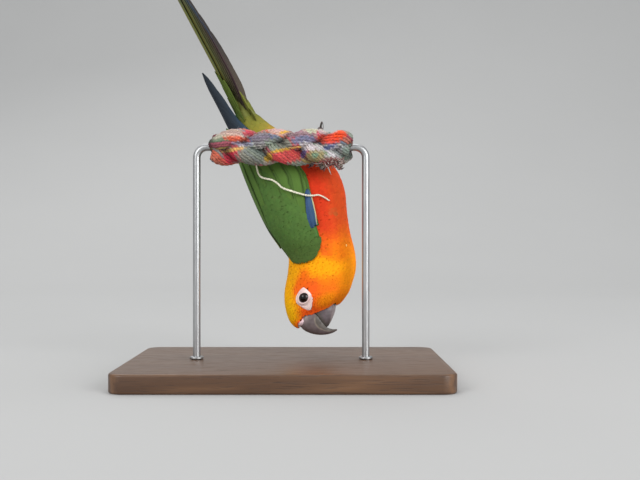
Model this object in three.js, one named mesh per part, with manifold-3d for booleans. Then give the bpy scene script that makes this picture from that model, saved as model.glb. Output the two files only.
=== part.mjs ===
// A jenday conure hanging head down from a cut length of braided rope perch, life size, on a plain display
// stand. Millimetres, +Z up. The origin is the middle of the base's underside, X runs along the perch and
// the bird's left flank faces -Y. The bird has a frame of its own: its plane of symmetry is y = 0 and z = 0
// is the height of its grip.
import * as THREE from "three";
import { mergeVertices } from "three/addons/utils/BufferGeometryUtils.js";
import Module from "manifold-3d";

const wasm = await Module();
wasm.setup();

const rad = THREE.MathUtils.degToRad;
const { lerp, smoothstep, clamp } = THREE.MathUtils;
const vec = (x, y, z) => new THREE.Vector3(x, y, z);

// The gap kept between pieces that touch.
const GAP = 0.3;

// The stand and the perch that it carries.
const BASE = { length: 210, depth: 140, height: 12, corner: 10, edge: 1 };
const ROD = { radius: 2.5, bend: 7, left: -60, right: 53, socket: 8, plug: 9 };
const PERCH = { left: -50, right: 43, height: 153.7, strand: 6.1, rise: 6.4, depth: 3.4, pitch: 74 };

// Where the bird hangs, and how far its head swings out from under its grip.
const BIRD = { x: 0, y: 38, z: 158, roll: rad(-8) };

// Stations from the face to the root of the tail: the back and the belly as [x, z], half the width, and how
// much wider the belly half of the section is than the back half.
const STATIONS = [
  { back: [12.9, -126.4], belly: [26.6, -116.6], half: 4, full: 0 },
  { back: [7, -128.6], belly: [33, -114.2], half: 5.8, full: 0 },
  { back: [2, -124.6], belly: [36.7, -111.2], half: 8.6, full: 0.03 },
  { back: [-0.8, -118], belly: [39.8, -107.5], half: 13.2, full: 0.05 },
  { back: [-2.2, -110], belly: [42.9, -102.6], half: 16.2, full: 0.07 },
  { back: [-2, -101.4], belly: [45, -96.6], half: 17.2, full: 0.07 },
  { back: [0, -90], belly: [47.4, -87.2], half: 18, full: 0.06 },
  { back: [0.4, -78.8], belly: [46.9, -76], half: 19.6, full: 0.04 },
  { back: [-4, -69.5], belly: [43.6, -62.2], half: 22.2, full: 0.02 },
  { back: [-11, -59.6], belly: [41.4, -47.6], half: 23.8, full: 0 },
  { back: [-17.4, -47.2], belly: [39.9, -32.2], half: 24.2, full: 0 },
  { back: [-23, -34.6], belly: [34.6, -18], half: 23.4, full: 0 },
  { back: [-28, -22], belly: [25, -6.6], half: 21, full: 0 },
  { back: [-31.4, -10], belly: [10.6, 2.2], half: 17.4, full: 0 },
  { back: [-33.4, 0.2], belly: [-3, 9.4], half: 14, full: 0 },
  { back: [-35.6, 8.6], belly: [-12.6, 15.6], half: 11.4, full: 0 },
  { back: [-37.6, 16.4], belly: [-21.4, 22.8], half: 9.4, full: 0 },
];
const CUT = { head: 5.2, neck: 7.7, root: 16 };

// The wing lies on the torso and runs on past it over the tail: stations like the body's, first the body's
// own.
const WING_FROM = 6;
const WING_STATIONS = [
  ...STATIONS.slice(WING_FROM, 13),
  { back: [-32.4, -10], belly: [14.8, 6.4], half: 17.8, full: 0 },
  { back: [-37, 1.6], belly: [1.6, 17], half: 14.6, full: 0 },
  { back: [-43.4, 13.6], belly: [-11, 29], half: 11.8, full: 0 },
  { back: [-50, 26.8], belly: [-23, 41.4], half: 9.4, full: 0 },
  { back: [-57.2, 40.8], belly: [-35, 54], half: 7.6, full: 0 },
  { back: [-64.2, 54.8], belly: [-46.2, 66.6], half: 6.2, full: 0 },
];
// Edges of the folded wing, in degrees round from the middle of the back, at each wing station.
const WING_TRAIL = [32, 17, 6.5, 5, 4, 4, 4, 5, 7, 10, 14, 18, 22];
const WING_LEAD = [84, 91, 97, 99, 99, 103, 99, 86, 67, 56, 52, 48, 44];

// The eyes, and the bare cere over the root of the bill with its nostrils.
const EYE = { station: 3.88, angle: 66, radius: 4.6, sunk: 3.1, lid: 4.35, lidThick: 0.75 };
const CERE = { at: [9.6, 0, -123.6], size: [4.2, 6.2, 4] };
const NOSTRIL = { at: [8.6, 5.5, -123.6], radius: 1 };

// Profile of the bill: the ridge and the cutting edge of each half as [x, z], and half the width.
const BILL_UPPER = [
  { ridge: [7.4, -122.6], edge: [15.6, -113.6], half: 6.2 },
  { ridge: [9, -127.4], edge: [18.2, -117.8], half: 7.1 },
  { ridge: [12.2, -130.4], edge: [20.5, -120.2], half: 7.2 },
  { ridge: [16.9, -132.3], edge: [22.6, -122.8], half: 6.6 },
  { ridge: [21.8, -133.1], edge: [24.7, -125.4], half: 5.7 },
  { ridge: [26.7, -132.9], edge: [27.1, -128], half: 4.3 },
  { ridge: [31.2, -131.7], edge: [30.8, -129.2], half: 2.5 },
  { ridge: [34.4, -129.9], edge: [34, -129.1], half: 0.8 },
];
const BILL_LOWER = [
  { ridge: [32.4, -108.8], edge: [17.6, -114.6], half: 5.4 },
  { ridge: [33.4, -112.6], edge: [19, -117.2], half: 6.2 },
  { ridge: [32.9, -116.6], edge: [21.2, -119.8], half: 6.2 },
  { ridge: [31.6, -120.4], edge: [23.6, -122.8], half: 5.5 },
  { ridge: [30, -123.8], edge: [25.8, -125.6], half: 4.3 },
  { ridge: [28.4, -126.6], edge: [27.2, -127.4], half: 2.2 },
];
// Half sections of the bill: how far from the ridge towards the edge, and the share of the half width
// there.
const UPPER_SECTION = [
  [0, 0], [0.03, 0.34], [0.16, 0.68], [0.42, 0.93], [0.72, 1], [1, 0.94], [0.84, 0.5], [0.8, 0],
];
const LOWER_SECTION = [[0, 0], [0.05, 0.45], [0.25, 0.82], [0.6, 1], [1, 0.95], [0.84, 0.45], [0.8, 0]];

const TAIL = {
  lean: rad(28), twist: rad(10), roof: rad(24), half: 5.4, spread: 1.3, step: 0.95, thick: 0.6, lift: 1.6,
  lengths: [136, 129, 119, 107, 93, 77],
};

// Legs and feet: each foot's place on the perch, its ankle and hip, how far its front toes reach over the
// perch, and radii along the thigh and the shank.
const TOE = { radius: 2.1, claw: 1.15, tip: 0.25, sides: 7, clawSides: 5 };
const FEET = [
  { name: "left", x: 20, ankle: [22.5, 21, 151.5], hip: [9, -11, -30], reach: 1 },
  { name: "right", x: 31.5, ankle: [31.5, 26, 152.5], hip: [14, 10, -26], reach: 0.6 },
];
const THIGH = [4, 9, 8.6, 7.2, 5.2, 3.6];
const SHANK = [3, 2.5, 2.9];
const PALM = { angle: -4, over: 2.6 };

const COLOURS = {
  face: 0xf07a10, breast: 0xd2401c, green: 0x3f6b2a, tail: 0x5d6a2c, bill: 0x5f5759, eye: 0x1c1210,
  foot: 0x5d5654, rope: 0xa58a86, thread: 0xe8e2c8, base: 0x5a4334, rod: 0x9a9da0,
};

// Solids

// A closed geometry as a solid, turned the right way out.
function solidOf(geometry) {
  const bare = new THREE.BufferGeometry().setAttribute("position", geometry.getAttribute("position"));
  if (geometry.index) bare.setIndex(geometry.index);
  const merged = mergeVertices(bare, 1e-4);
  const corners = new Uint32Array(merged.index.array);
  const places = merged.attributes.position.array;
  const at = (i) => vec(places[3 * i], places[3 * i + 1], places[3 * i + 2]);
  let volume = 0;
  for (let i = 0; i < corners.length; i += 3) {
    volume += at(corners[i]).dot(at(corners[i + 1]).cross(at(corners[i + 2])));
  }
  if (volume < 0) corners.reverse();
  return new wasm.Manifold(new wasm.Mesh({ numProp: 3, vertProperties: places, triVerts: corners }));
}

function largest(solid) {
  return solid.decompose().reduce((a, b) => (b.volume() > a.volume() ? b : a));
}

// The mesh of a solid as a geometry, with corners closer than a small size merged and what collapses
// dropped.
function geometryOf(solid, size) {
  const data = solid.getMesh();
  const places = new Float32Array(data.numVert * 3);
  for (let i = 0; i < data.numVert; i++) {
    places.set(data.vertProperties.subarray(i * data.numProp, i * data.numProp + 3), i * 3);
  }
  const geometry = new THREE.BufferGeometry().setAttribute("position", new THREE.BufferAttribute(places, 3));
  geometry.setIndex(new THREE.BufferAttribute(new Uint32Array(data.triVerts), 1));
  const merged = mergeVertices(geometry, size);
  const index = merged.index.array;
  const kept = [];
  for (let i = 0; i < index.length; i += 3) {
    const [a, b, c] = index.subarray(i, i + 3);
    if (a !== b && b !== c && a !== c) kept.push(a, b, c);
  }
  return merged.setIndex(kept);
}

// Whether each edge lies between exactly two facets.
function isClosed(geometry) {
  const index = geometry.index.array;
  const uses = new Map();
  for (let i = 0; i < index.length; i++) {
    const [a, b] = [index[i], index[i % 3 === 2 ? i - 2 : i + 1]];
    const edge = Math.min(a, b) + "-" + Math.max(a, b);
    uses.set(edge, (uses.get(edge) ?? 0) + 1);
  }
  return [...uses.values()].every((n) => n === 2);
}

// The largest body of a solid without slivers, as far as it stays one closed body.
function cleaned(solid) {
  let body = largest(solid);
  for (const size of [0.01, 0.02, 0.03, 0.015, 0.025, 0.04]) {
    const next = geometryOf(body, size);
    if (isClosed(next)) body = largest(solidOf(next));
  }
  return body;
}

function meshOf(name, solid, colour, roughness = 0.7, metalness = 0) {
  const geometry = geometryOf(cleaned(solid), 1e-4);
  geometry.computeVertexNormals();
  const material = new THREE.MeshStandardMaterial({ color: colour, roughness, metalness });
  const mesh = new THREE.Mesh(geometry, material);
  mesh.name = name;
  return mesh;
}

// Skins rings of equally many points into a closed body with flat ends. With alike, the second half of each
// ring is split along the same lines as the first, as the two faces of a thin vane have to be.
function loft(rings, alike = false) {
  const count = rings[0].length;
  const points = rings.flat();
  const faces = [];
  for (let i = 0; i < rings.length - 1; i++) {
    for (let j = 0; j < count; j++) {
      const next = (j + 1) % count;
      const [a, b, c, d] = [i * count + j, i * count + next, (i + 1) * count + next, (i + 1) * count + j];
      if (alike && j >= count / 2) faces.push(a, b, d, b, c, d);
      else faces.push(a, b, c, a, c, d);
    }
  }
  for (const end of [0, rings.length - 1]) {
    const middle = rings[end].reduce((sum, p) => sum.add(p), vec(0, 0, 0)).divideScalar(count);
    points.push(middle);
    for (let j = 0; j < count; j++) {
      const pair = [end * count + j, end * count + ((j + 1) % count)];
      faces.push(points.length - 1, ...(end === 0 ? pair.reverse() : pair));
    }
  }
  const geometry = new THREE.BufferGeometry().setFromPoints(points);
  geometry.setIndex(faces);
  return geometry;
}

// A tube of round section along points, with a radius at each.
function tube(points, radii, sides) {
  const curve = new THREE.CatmullRomCurve3(points);
  const frames = curve.computeFrenetFrames(points.length - 1);
  const rings = points.map((p, i) =>
    Array.from({ length: sides }, (_, j) => {
      const turn = (2 * Math.PI * j) / sides;
      return p.clone()
        .addScaledVector(frames.normals[i], Math.cos(turn) * radii[i])
        .addScaledVector(frames.binormals[i], Math.sin(turn) * radii[i]);
    }),
  );
  return loft(rings);
}

// The body's own surface

function surfaceOf(stations) {
  const curve = (edge, middle) => {
    const points = stations.map((s) => vec(s[edge][0], s[middle], s[edge][1]));
    return new THREE.CatmullRomCurve3(points, false, "catmullrom");
  };
  return { back: curve("back", "half"), belly: curve("belly", "full"), last: stations.length - 1 };
}
const BODY = surfaceOf(STATIONS);
const WING = surfaceOf(WING_STATIONS);

// A point of a surface: station, degrees round from the back (the bird's left is negative y), height over
// it.
function place(surface, station, degrees, lift = 0) {
  const bare = (s, angle) => {
    const back = surface.back.getPoint(clamp(s / surface.last, 0, 1));
    const belly = surface.belly.getPoint(clamp(s / surface.last, 0, 1));
    const along = (1 - Math.cos(rad(angle))) / 2;
    const half = back.y * Math.sin(rad(angle)) * (1 - belly.y * Math.cos(rad(angle)));
    return vec(lerp(back.x, belly.x, along), -half, lerp(back.z, belly.z, along));
  };
  const point = bare(station, degrees);
  return lift ? point.addScaledVector(normalAt(bare, station, degrees), lift) : point;
}

function normalAt(bare, station, degrees) {
  const STEP = 0.05;
  const along = bare(station + STEP, degrees).sub(bare(station - STEP, degrees));
  const round = bare(station, degrees + 1).sub(bare(station, degrees - 1));
  return round.cross(along).normalize();
}

function bodyPiece(from, to, steps, lift = 0, sides = 24) {
  const rings = Array.from({ length: steps + 1 }, (_, i) => {
    const station = lerp(from, to, i / steps);
    return Array.from({ length: sides }, (_, j) => place(BODY, station, (360 * j) / sides, lift));
  });
  return solidOf(loft(rings));
}

// How many stations one millimetre is, near a station.
function stationsPerMm(station) {
  const middle = (s) => place(BODY, s, 0).add(place(BODY, s, 180)).divideScalar(2);
  return 0.2 / middle(station + 0.1).distanceTo(middle(station - 0.1));
}
const halfGap = (station) => (GAP / 2) * stationsPerMm(station);

// Feathers

// A flat feather: its middle surface is given at t along it and j across it (-1 to 1), as a point and its
// upward normal.
function vane(steps, middle, thick) {
  const rings = Array.from({ length: steps + 1 }, (_, i) => {
    const face = (j, side) => {
      const { point, up } = middle(i / steps, j);
      return point.clone().addScaledVector(up, (side * thick) / 2);
    };
    return [...[-1, 0, 1].map((j) => face(j, 1)), ...[1, 0, -1].map((j) => face(j, -1))];
  });
  return solidOf(loft(rings, true));
}

// Share of a feather's width along it, from its narrow root to its rounded tip.
function featherWidth(t, root = 0.55, tip = 0.8) {
  const end = t < tip ? 1 : Math.sqrt(Math.max(0.02, 1 - ((t - tip) / (1 - tip)) ** 2));
  return lerp(root, 1, smoothstep(t, 0, 0.35)) * end;
}

const edgeAt = (edge, station) => {
  const low = clamp(Math.floor(station), 0, edge.length - 2);
  return lerp(edge[low], edge[low + 1], station - low);
};

// A place on the folded wing: station, share of the way from its trailing to its leading edge, and lift.
const onWing = (station, share, lift = 0) =>
  place(WING, station, lerp(edgeAt(WING_TRAIL, station), edgeAt(WING_LEAD, station), share), lift);

// A feather on the folded wing from one [station, share, lift] to another, its front edge tilted up.
function wingFeather(root, tip, { half, steps, tilt = 0.1 }) {
  const at = (t) => [lerp(root[0], tip[0], t), lerp(root[1], tip[1], t * t), lerp(root[2], tip[2], t)];
  const middle = (t, j) => {
    const [station, share, lift] = at(t);
    const point = onWing(station, share, lift);
    const ahead = onWing(...at(t + 0.04)).sub(onWing(...at(t - 0.04))).normalize();
    const inner = onWing(station, share, 0);
    const up = point.clone().sub(inner).normalize();
    const across = up.clone().cross(ahead).normalize();
    if (across.dot(onWing(station, share + 0.02).sub(inner)) < 0) across.negate();
    const out = j * half * featherWidth(t);
    const sag = (0.5 * out * out) / (edgeAt(WING_HALF, station) + lift);
    return { point: point.addScaledVector(across, out).addScaledVector(up, tilt * out - sag), up };
  };
  return vane(steps, middle, 0.6);
}
const WING_HALF = WING_STATIONS.map((s) => s.half);

// The shoulder and the smooth coverts: a cushion on the torso, thick at the bend of the wing.
function wingShoulder() {
  const ACROSS = 7, ALONG = 8, END = 4.6, THICK = 6.4, THIN = 1.1;
  const rings = Array.from({ length: ALONG + 1 }, (_, i) => {
    const along = i / ALONG;
    const points = [[], []];
    for (let j = 0; j <= ACROSS; j++) {
      const share = j / ACROSS;
      const station = lerp(0.42 + (share < 0.5 ? 0.5 : 1.25) * Math.abs(2 * share - 1) ** 4, END, along);
      const swell = Math.sin(Math.PI * clamp(share, 0.02, 0.98)) ** 0.55
        * Math.sin(Math.PI * clamp(0.06 + along * 0.8, 0, 0.62)) ** 0.7;
      points[0].push(onWing(station, share, lerp(THIN, lerp(THICK, 4.4, along), swell)));
      points[1].push(onWing(station, share, -1.4));
    }
    return [...points[0], ...points[1].reverse()];
  });
  return solidOf(loft(rings));
}

// Flight feathers and coverts, in tiers: each is its count, half a feather's width and its steps, then for
// feather u from the back (0) to the front edge (1) its root and its tip.
const TIERS = [
  {
    count: 6, half: 4.9, steps: 6,
    root: (u) => [lerp(3.6, 2.4, u), lerp(0.8, 0.95, u), 1.5],
    tip: (u) => [lerp(9, 11.8, u), lerp(0.46, 0.56, u), lerp(1.9, 1.2, u)],
  },
  {
    count: 7, half: 6.6, steps: 4,
    root: (u) => [lerp(3.4, 3, u), lerp(0.17, 0.8, u), 2.2],
    tip: (u) => [lerp(8.7, 7, u), lerp(0.24, 0.8, u), 2.6],
  },
  {
    count: 7, half: 6, steps: 3,
    root: (u) => [2.6, lerp(0.15, 0.85, u), 3.2],
    tip: (u) => [lerp(6, 5.2, u), lerp(0.16, 0.86, u), 4],
  },
];

function wing() {
  const feathers = TIERS.flatMap((tier) =>
    Array.from({ length: tier.count }, (_, i) => {
      const u = i / (tier.count - 1);
      return wingFeather(tier.root(u), tier.tip(u), tier);
    }),
  );
  return feathers.reduce((sum, feather) => sum.add(feather), wingShoulder());
}

// The tail

const tailRoot = place(BODY, CUT.root, 0).add(place(BODY, CUT.root, 180)).divideScalar(2);
const tailAlong = vec(-Math.sin(TAIL.lean), 0, Math.cos(TAIL.lean));
const tailUp = vec(-Math.cos(TAIL.lean), 0, -Math.sin(TAIL.lean)).applyAxisAngle(tailAlong, -TAIL.twist);
const tailAcross = tailUp.clone().cross(tailAlong).normalize();

// A place in the tail, which slopes down like a roof on both sides of its ridge: along it, out from the
// ridge (the bird's right is positive) and up.
function onTail(along, out, up) {
  const ROUND = 3;
  const fall = Math.sqrt(out * out + ROUND * ROUND) - ROUND;
  const slope = (Math.sin(TAIL.roof) * out) / Math.sqrt(out * out + ROUND * ROUND);
  const normal = tailUp.clone().addScaledVector(tailAcross, slope / Math.cos(TAIL.roof)).normalize();
  const point = tailRoot.clone()
    .addScaledVector(tailAlong, along)
    .addScaledVector(tailAcross, out * Math.cos(TAIL.roof))
    .addScaledVector(tailUp, up - fall * Math.sin(TAIL.roof));
  return { point, up: normal };
}

function tailFeather({ from, to, out, half, up, drop = 0, steps }) {
  const middle = (t, j) => {
    const width = half * featherWidth(t, 0.5, 0.68);
    return onTail(lerp(from, to, t), out * lerp(0.55, 1, smoothstep(t, 0, 0.4)) + j * width, up + drop * t);
  };
  return vane(steps, middle, TAIL.thick);
}

function tail() {
  const pieces = [];
  for (const side of [-1, 1]) {
    for (let pair = 0; pair < TAIL.lengths.length; pair++) {
      const level = pair === 0 ? (side < 0 ? 2 : 1) : 1 - pair;
      const out = side * (pair === 0 ? 2 : TAIL.half + 0.3 + TAIL.spread * (pair - 1));
      pieces.push(tailFeather({
        from: 5, to: TAIL.lengths[pair], out, half: TAIL.half, up: TAIL.lift + level * TAIL.step, steps: 5,
      }));
    }
  }
  for (const side of [-1, 0, 1]) {
    const [out, lower] = [6.8 * side + 0.4, Math.abs(side)];
    const above = { to: 44 - 9 * lower, out, up: TAIL.lift + 4.5 - 0.95 * lower, drop: -0.6 };
    const below = { to: 27 - 5 * lower, out, up: TAIL.lift - 5.8 + 0.95 * lower, drop: 0.3 };
    pieces.push(...[above, below].map((covert) => tailFeather({ from: 2, half: 6, steps: 3, ...covert })));
  }
  return pieces.reduce((sum, piece) => sum.add(piece), tailCore());
}

// The fleshy root of the tail, from the torso's last section to a flat end between the feathers.
function tailCore() {
  const SIDES = 16, STEPS = 4, LENGTH = 26;
  const rings = Array.from({ length: STEPS + 1 }, (_, i) => {
    const t = i / STEPS;
    return Array.from({ length: SIDES }, (_, j) => {
      const turn = (2 * Math.PI * j) / SIDES;
      const start = place(BODY, CUT.root, (360 * j) / SIDES).addScaledVector(tailAlong, GAP + LENGTH * t);
      const out = -Math.sin(turn) * lerp(8.6, 7, t);
      const end = onTail(GAP + LENGTH * t, out, TAIL.lift - 1 + Math.cos(turn) * lerp(5, 2, t)).point;
      return start.lerp(end, smoothstep(t, 0, 0.6));
    });
  });
  return solidOf(loft(rings));
}

// The head

function billHalf(profile, section, grow = 0) {
  const rings = profile.map(({ ridge, edge, half }) => {
    const down = vec(edge[0] - ridge[0], 0, edge[1] - ridge[1]);
    const length = down.length();
    down.normalize();
    const point = ([t, share], side) => {
      const depth = t * (length + 2 * grow) - grow;
      return vec(ridge[0], side * share * (half + grow), ridge[1]).addScaledVector(down, depth);
    };
    return [...section.map((p) => point(p, -1)), ...section.slice(1, -1).reverse().map((p) => point(p, 1))];
  });
  return solidOf(loft(rings));
}

const eyeCentre = (side) => {
  const left = place(BODY, EYE.station, EYE.angle, -EYE.sunk);
  return vec(left.x, side * -left.y, left.z);
};
const eyeAxis = (side) => {
  const outward = place(BODY, EYE.station, EYE.angle, 1).sub(place(BODY, EYE.station, EYE.angle));
  return vec(outward.x, side * -outward.y, outward.z).normalize();
};

function eyeball(side, radius = EYE.radius) {
  const centre = eyeCentre(side);
  const ball = new THREE.SphereGeometry(radius, 14, 8);
  ball.applyQuaternion(new THREE.Quaternion().setFromUnitVectors(vec(0, 1, 0), eyeAxis(side)));
  return solidOf(ball.translate(centre.x, centre.y, centre.z));
}

function eyelid(side) {
  const ring = new THREE.TorusGeometry(EYE.lid, EYE.lidThick, 5, 14);
  ring.applyQuaternion(new THREE.Quaternion().setFromUnitVectors(vec(0, 0, 1), eyeAxis(side)));
  const centre = eyeCentre(side).addScaledVector(eyeAxis(side), EYE.sunk - 0.1);
  return solidOf(ring.translate(centre.x, centre.y, centre.z));
}

// The nostrils open in the bare cere, close above the root of the bill.
function nostril(side) {
  const hole = new THREE.SphereGeometry(NOSTRIL.radius, 7, 5).scale(1.2, 1, 1);
  const [x, y, z] = NOSTRIL.at;
  return solidOf(hole.translate(x, side * y, z));
}

function cere() {
  return solidOf(new THREE.SphereGeometry(1, 12, 8).scale(...CERE.size).translate(...CERE.at));
}

function head() {
  let solid = bodyPiece(0.12, CUT.head - halfGap(CUT.head), 10).add(cere());
  for (const side of [-1, 1]) {
    solid = solid.add(eyelid(side)).subtract(eyeball(side, EYE.radius + GAP)).subtract(nostril(side));
  }
  const rooms = [billHalf(BILL_UPPER, UPPER_SECTION, GAP), billHalf(BILL_LOWER, LOWER_SECTION, GAP)];
  return rooms.reduce((rest, room) => rest.subtract(room), solid);
}

// The stand and the perch

const perchHalf = PERCH.rise + PERCH.strand;

// Middle of a strand of the three-strand plait at x.
function plait(strand, x) {
  const turn = (2 * Math.PI * x) / PERCH.pitch + (2 * Math.PI * strand) / 3;
  const close = smoothstep(Math.min(x - PERCH.left, PERCH.right - x), 0, 9);
  const share = lerp(0.66, 1, close);
  const [deep, high] = [PERCH.depth * share * Math.sin(2 * turn), PERCH.rise * share * Math.sin(turn)];
  return vec(x, -deep, PERCH.height + high);
}

function perch(grow = 0) {
  const STEPS = 24, SIDES = 7;
  let solid = null;
  for (let strand = 0; strand < 3; strand++) {
    const along = (i) => lerp(PERCH.left, PERCH.right, i / STEPS);
    const points = Array.from({ length: STEPS + 1 }, (_, i) => plait(strand, along(i)));
    const fromEnd = (p) => Math.min(p.x - PERCH.left, PERCH.right - p.x);
    const radii = points.map((p) => PERCH.strand * lerp(0.8, 1, smoothstep(fromEnd(p), 0, 5)) + grow);
    const cord = solidOf(tube(points, radii, SIDES));
    solid = solid ? solid.add(cord) : cord;
  }
  return solid;
}

// A rod stands in the base, bends over and plugs into the end of the perch.
function rod(x, end, grow = 0) {
  const inward = Math.sign(end - x);
  const corner = ROD.bend;
  const path = new THREE.CurvePath();
  const foot = vec(x, 0, BASE.height - ROD.socket);
  const low = vec(x, 0, PERCH.height - corner);
  const high = vec(x + inward * corner, 0, PERCH.height);
  const tip = vec(end + inward * ROD.plug, 0, PERCH.height);
  const points = [foot, foot.clone().lerp(low, 0.5), low];
  for (let i = 1; i < 5; i++) {
    const turn = (Math.PI / 2) * (i / 5);
    const [over, up] = [corner * (1 - Math.cos(turn)), corner * Math.sin(turn)];
    points.push(vec(x + inward * over, 0, low.z + up));
  }
  points.push(high, tip);
  if (grow) {
    points[0] = foot.clone().add(vec(0, 0, -grow));
    points[points.length - 1] = tip.clone().add(vec(inward * grow, 0, 0));
  }
  return solidOf(tube(points, points.map(() => ROD.radius + grow), 12));
}

function base() {
  const { length, depth, height, corner, edge } = BASE;
  const [w, d] = [length / 2 - edge, depth / 2 - edge];
  const outline = new THREE.Shape();
  outline.moveTo(-w + corner, -d);
  outline.lineTo(w - corner, -d).absarc(w - corner, -d + corner, corner, -Math.PI / 2, 0);
  outline.lineTo(w, d - corner).absarc(w - corner, d - corner, corner, 0, Math.PI / 2);
  outline.lineTo(-w + corner, d).absarc(-w + corner, d - corner, corner, Math.PI / 2, Math.PI);
  outline.lineTo(-w, -d + corner).absarc(-w + corner, -d + corner, corner, Math.PI, Math.PI * 1.5);
  const plate = new THREE.ExtrudeGeometry(outline, {
    depth: height - 2 * edge, bevelSize: edge, bevelThickness: edge, bevelSegments: 1, curveSegments: 4,
  });
  return solidOf(plate.translate(0, 0, edge));
}

// Turns between the world and the bird's frame.
const birdMatrix = new THREE.Matrix4().makeRotationX(BIRD.roll).setPosition(BIRD.x, BIRD.y, BIRD.z);
const toBird = (p) => p.clone().applyMatrix4(birdMatrix.clone().invert());
const inBird = (solid) => solid.transform(birdMatrix.clone().invert().elements);

// The legs

// A place round the perch, in the world: degrees from its back over its top, and the height over its braid.
function roundPerch(x, degrees, over) {
  const turn = rad(degrees);
  const [deep, high] = [PERCH.depth * 0.9 + PERCH.strand + over, perchHalf + over];
  return vec(x, deep * Math.cos(turn), PERCH.height + high * Math.sin(turn));
}

// Toes, two forward over the perch and two back under it: where each starts and ends round the perch, how
// far it slants along it, and the length and the arch of its claw. The front ones end nearer on a foot with
// less reach.
const TOES = [
  { from: 4, to: 46, slant: -3.6, claw: 26, arch: 0.6, thick: 0.9 },
  { from: 4, to: 66, slant: 2.4, claw: 52, arch: 3, thick: 1 },
  { from: -16, to: -68, slant: 3.6, claw: 24, arch: 0.7, thick: 0.95 },
  { from: -16, to: -54, slant: -3.2, claw: 24, arch: 0.7, thick: 0.85 },
];

function toe(foot, { from, to: full, slant, claw, arch, thick }) {
  const STEPS = 5, CLAW_STEPS = 4, SINK = 6;
  const reach = full > 0 ? foot.reach : 1;
  const to = full * reach;
  const radius = TOE.radius * thick;
  const way = Math.sign(to - from);
  const points = [];
  for (let i = 0; i <= STEPS; i++) {
    const t = i / STEPS;
    points.push(toBird(roundPerch(foot.x + slant * (0.25 + t), lerp(from, to, t), radius + GAP)));
  }
  const nail = [];
  for (let i = 0; i <= CLAW_STEPS; i++) {
    const t = i / CLAW_STEPS;
    const over = lerp(radius, TOE.tip, t) + arch * reach * Math.sin(Math.PI * t) + GAP;
    const angle = to + way * lerp(-SINK, claw * reach, t);
    nail.push(toBird(roundPerch(foot.x + slant * (1.1 + 0.9 * t), angle, over)));
  }
  const digit = tube(points, points.map((_, i) => radius * lerp(1.1, 0.86, i / STEPS)), TOE.sides);
  const taper = nail.map((_, i) => lerp(TOE.claw, TOE.tip, (i / CLAW_STEPS) ** 1.3));
  const talon = tube(nail, taper, TOE.clawSides);
  return solidOf(digit).add(solidOf(talon));
}

// The shank, from the ankle to the palm on the perch.
function shank(foot, grow = 0) {
  const ankle = toBird(vec(...foot.ankle));
  const palm = toBird(roundPerch(foot.x, PALM.angle, PALM.over + GAP));
  const start = ankle.clone().lerp(palm, -grow / ankle.distanceTo(palm));
  return solidOf(tube([start, ankle.clone().lerp(palm, 0.5), palm], SHANK.map((radius) => radius + grow), 8));
}

function footSolid(foot) {
  return TOES.reduce((sum, one) => sum.add(toe(foot, one)), shank(foot));
}

// The feathered thigh, from the hip in the torso to the ankle.
function thigh(foot) {
  const hip = vec(...foot.hip);
  const ankle = toBird(vec(...foot.ankle));
  const points = THIGH.map((_, i) => hip.clone().lerp(ankle, i / (THIGH.length - 1)));
  return solidOf(tube(points, THIGH, 12));
}

// The loose thread: out of the perch's underside and down over the wing to the belly, as station, degrees
// and lift over the surface that the wing lies on.
const THREAD = { radius: 0.65, sides: 8, steps: 22, from: [-20.2, 0.6, 140.9] };
const THREAD_PATH = [
  [5.6, 50.8, 6.8], [5.34, 53.7, 6.6], [5.08, 62.4, 6.5], [4.82, 67, 6.5], [4.54, 70.3, 6.4],
  [4.27, 78, 6.4], [4.04, 85.9, 6.2], [3.89, 93.1, 5.3], [3.83, 99.9, 4.2], [3.82, 107.4, 2.8],
  [3.7, 114.6, 1.8], [3.49, 123, 1.4],
];

function thread() {
  const lying = THREAD_PATH.map((spot) => place(WING, ...spot).applyMatrix4(birdMatrix));
  const top = vec(...THREAD.from);
  const extrudePath = new THREE.CatmullRomCurve3([top, top.clone().add(vec(0, 1.5, -1.6)), ...lying]);
  const rim = Array.from({ length: THREAD.sides }, (_, i) => {
    const turn = (2 * Math.PI * i) / THREAD.sides;
    return new THREE.Vector2(THREAD.radius * Math.cos(turn), THREAD.radius * Math.sin(turn));
  });
  const section = new THREE.Shape(rim);
  const options = { steps: THREAD.steps, extrudePath, bevelEnabled: false };
  return solidOf(new THREE.ExtrudeGeometry(section, options));
}

// Everything together

const torsoGrown = bodyPiece(CUT.neck - 1, CUT.root, 20, GAP);
const neckGrown = bodyPiece(CUT.head - 1, CUT.neck + 0.5, 8, GAP);
const perchSolid = perch();
const perchGrown = inBird(perch(GAP));

const bird = new THREE.Group();
bird.position.set(BIRD.x, BIRD.y, BIRD.z);
bird.rotation.x = BIRD.roll;

bird.add(meshOf("head", head(), COLOURS.face));
const neck = bodyPiece(CUT.head + halfGap(CUT.head), CUT.neck - halfGap(CUT.neck), 5);
bird.add(meshOf("neck", neck, COLOURS.face));
bird.add(meshOf("torso", bodyPiece(CUT.neck + halfGap(CUT.neck), CUT.root, 18), COLOURS.breast));
const upper = billHalf(BILL_UPPER, UPPER_SECTION);
const lower = billHalf(BILL_LOWER, LOWER_SECTION).subtract(billHalf(BILL_UPPER, UPPER_SECTION, GAP));
bird.add(meshOf("bill_upper", upper, COLOURS.bill, 0.4));
bird.add(meshOf("bill_lower", lower, COLOURS.bill, 0.4));
bird.add(meshOf("eye_left", eyeball(-1), COLOURS.eye, 0.1));
bird.add(meshOf("eye_right", eyeball(1), COLOURS.eye, 0.1));
bird.add(meshOf("tail", largest(tail()), COLOURS.tail));
const wingLeft = largest(wing().subtract(torsoGrown).subtract(neckGrown));
bird.add(meshOf("wing_left", wingLeft, COLOURS.green));
bird.add(meshOf("wing_right", wingLeft.mirror([0, 1, 0]), COLOURS.green));
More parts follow.
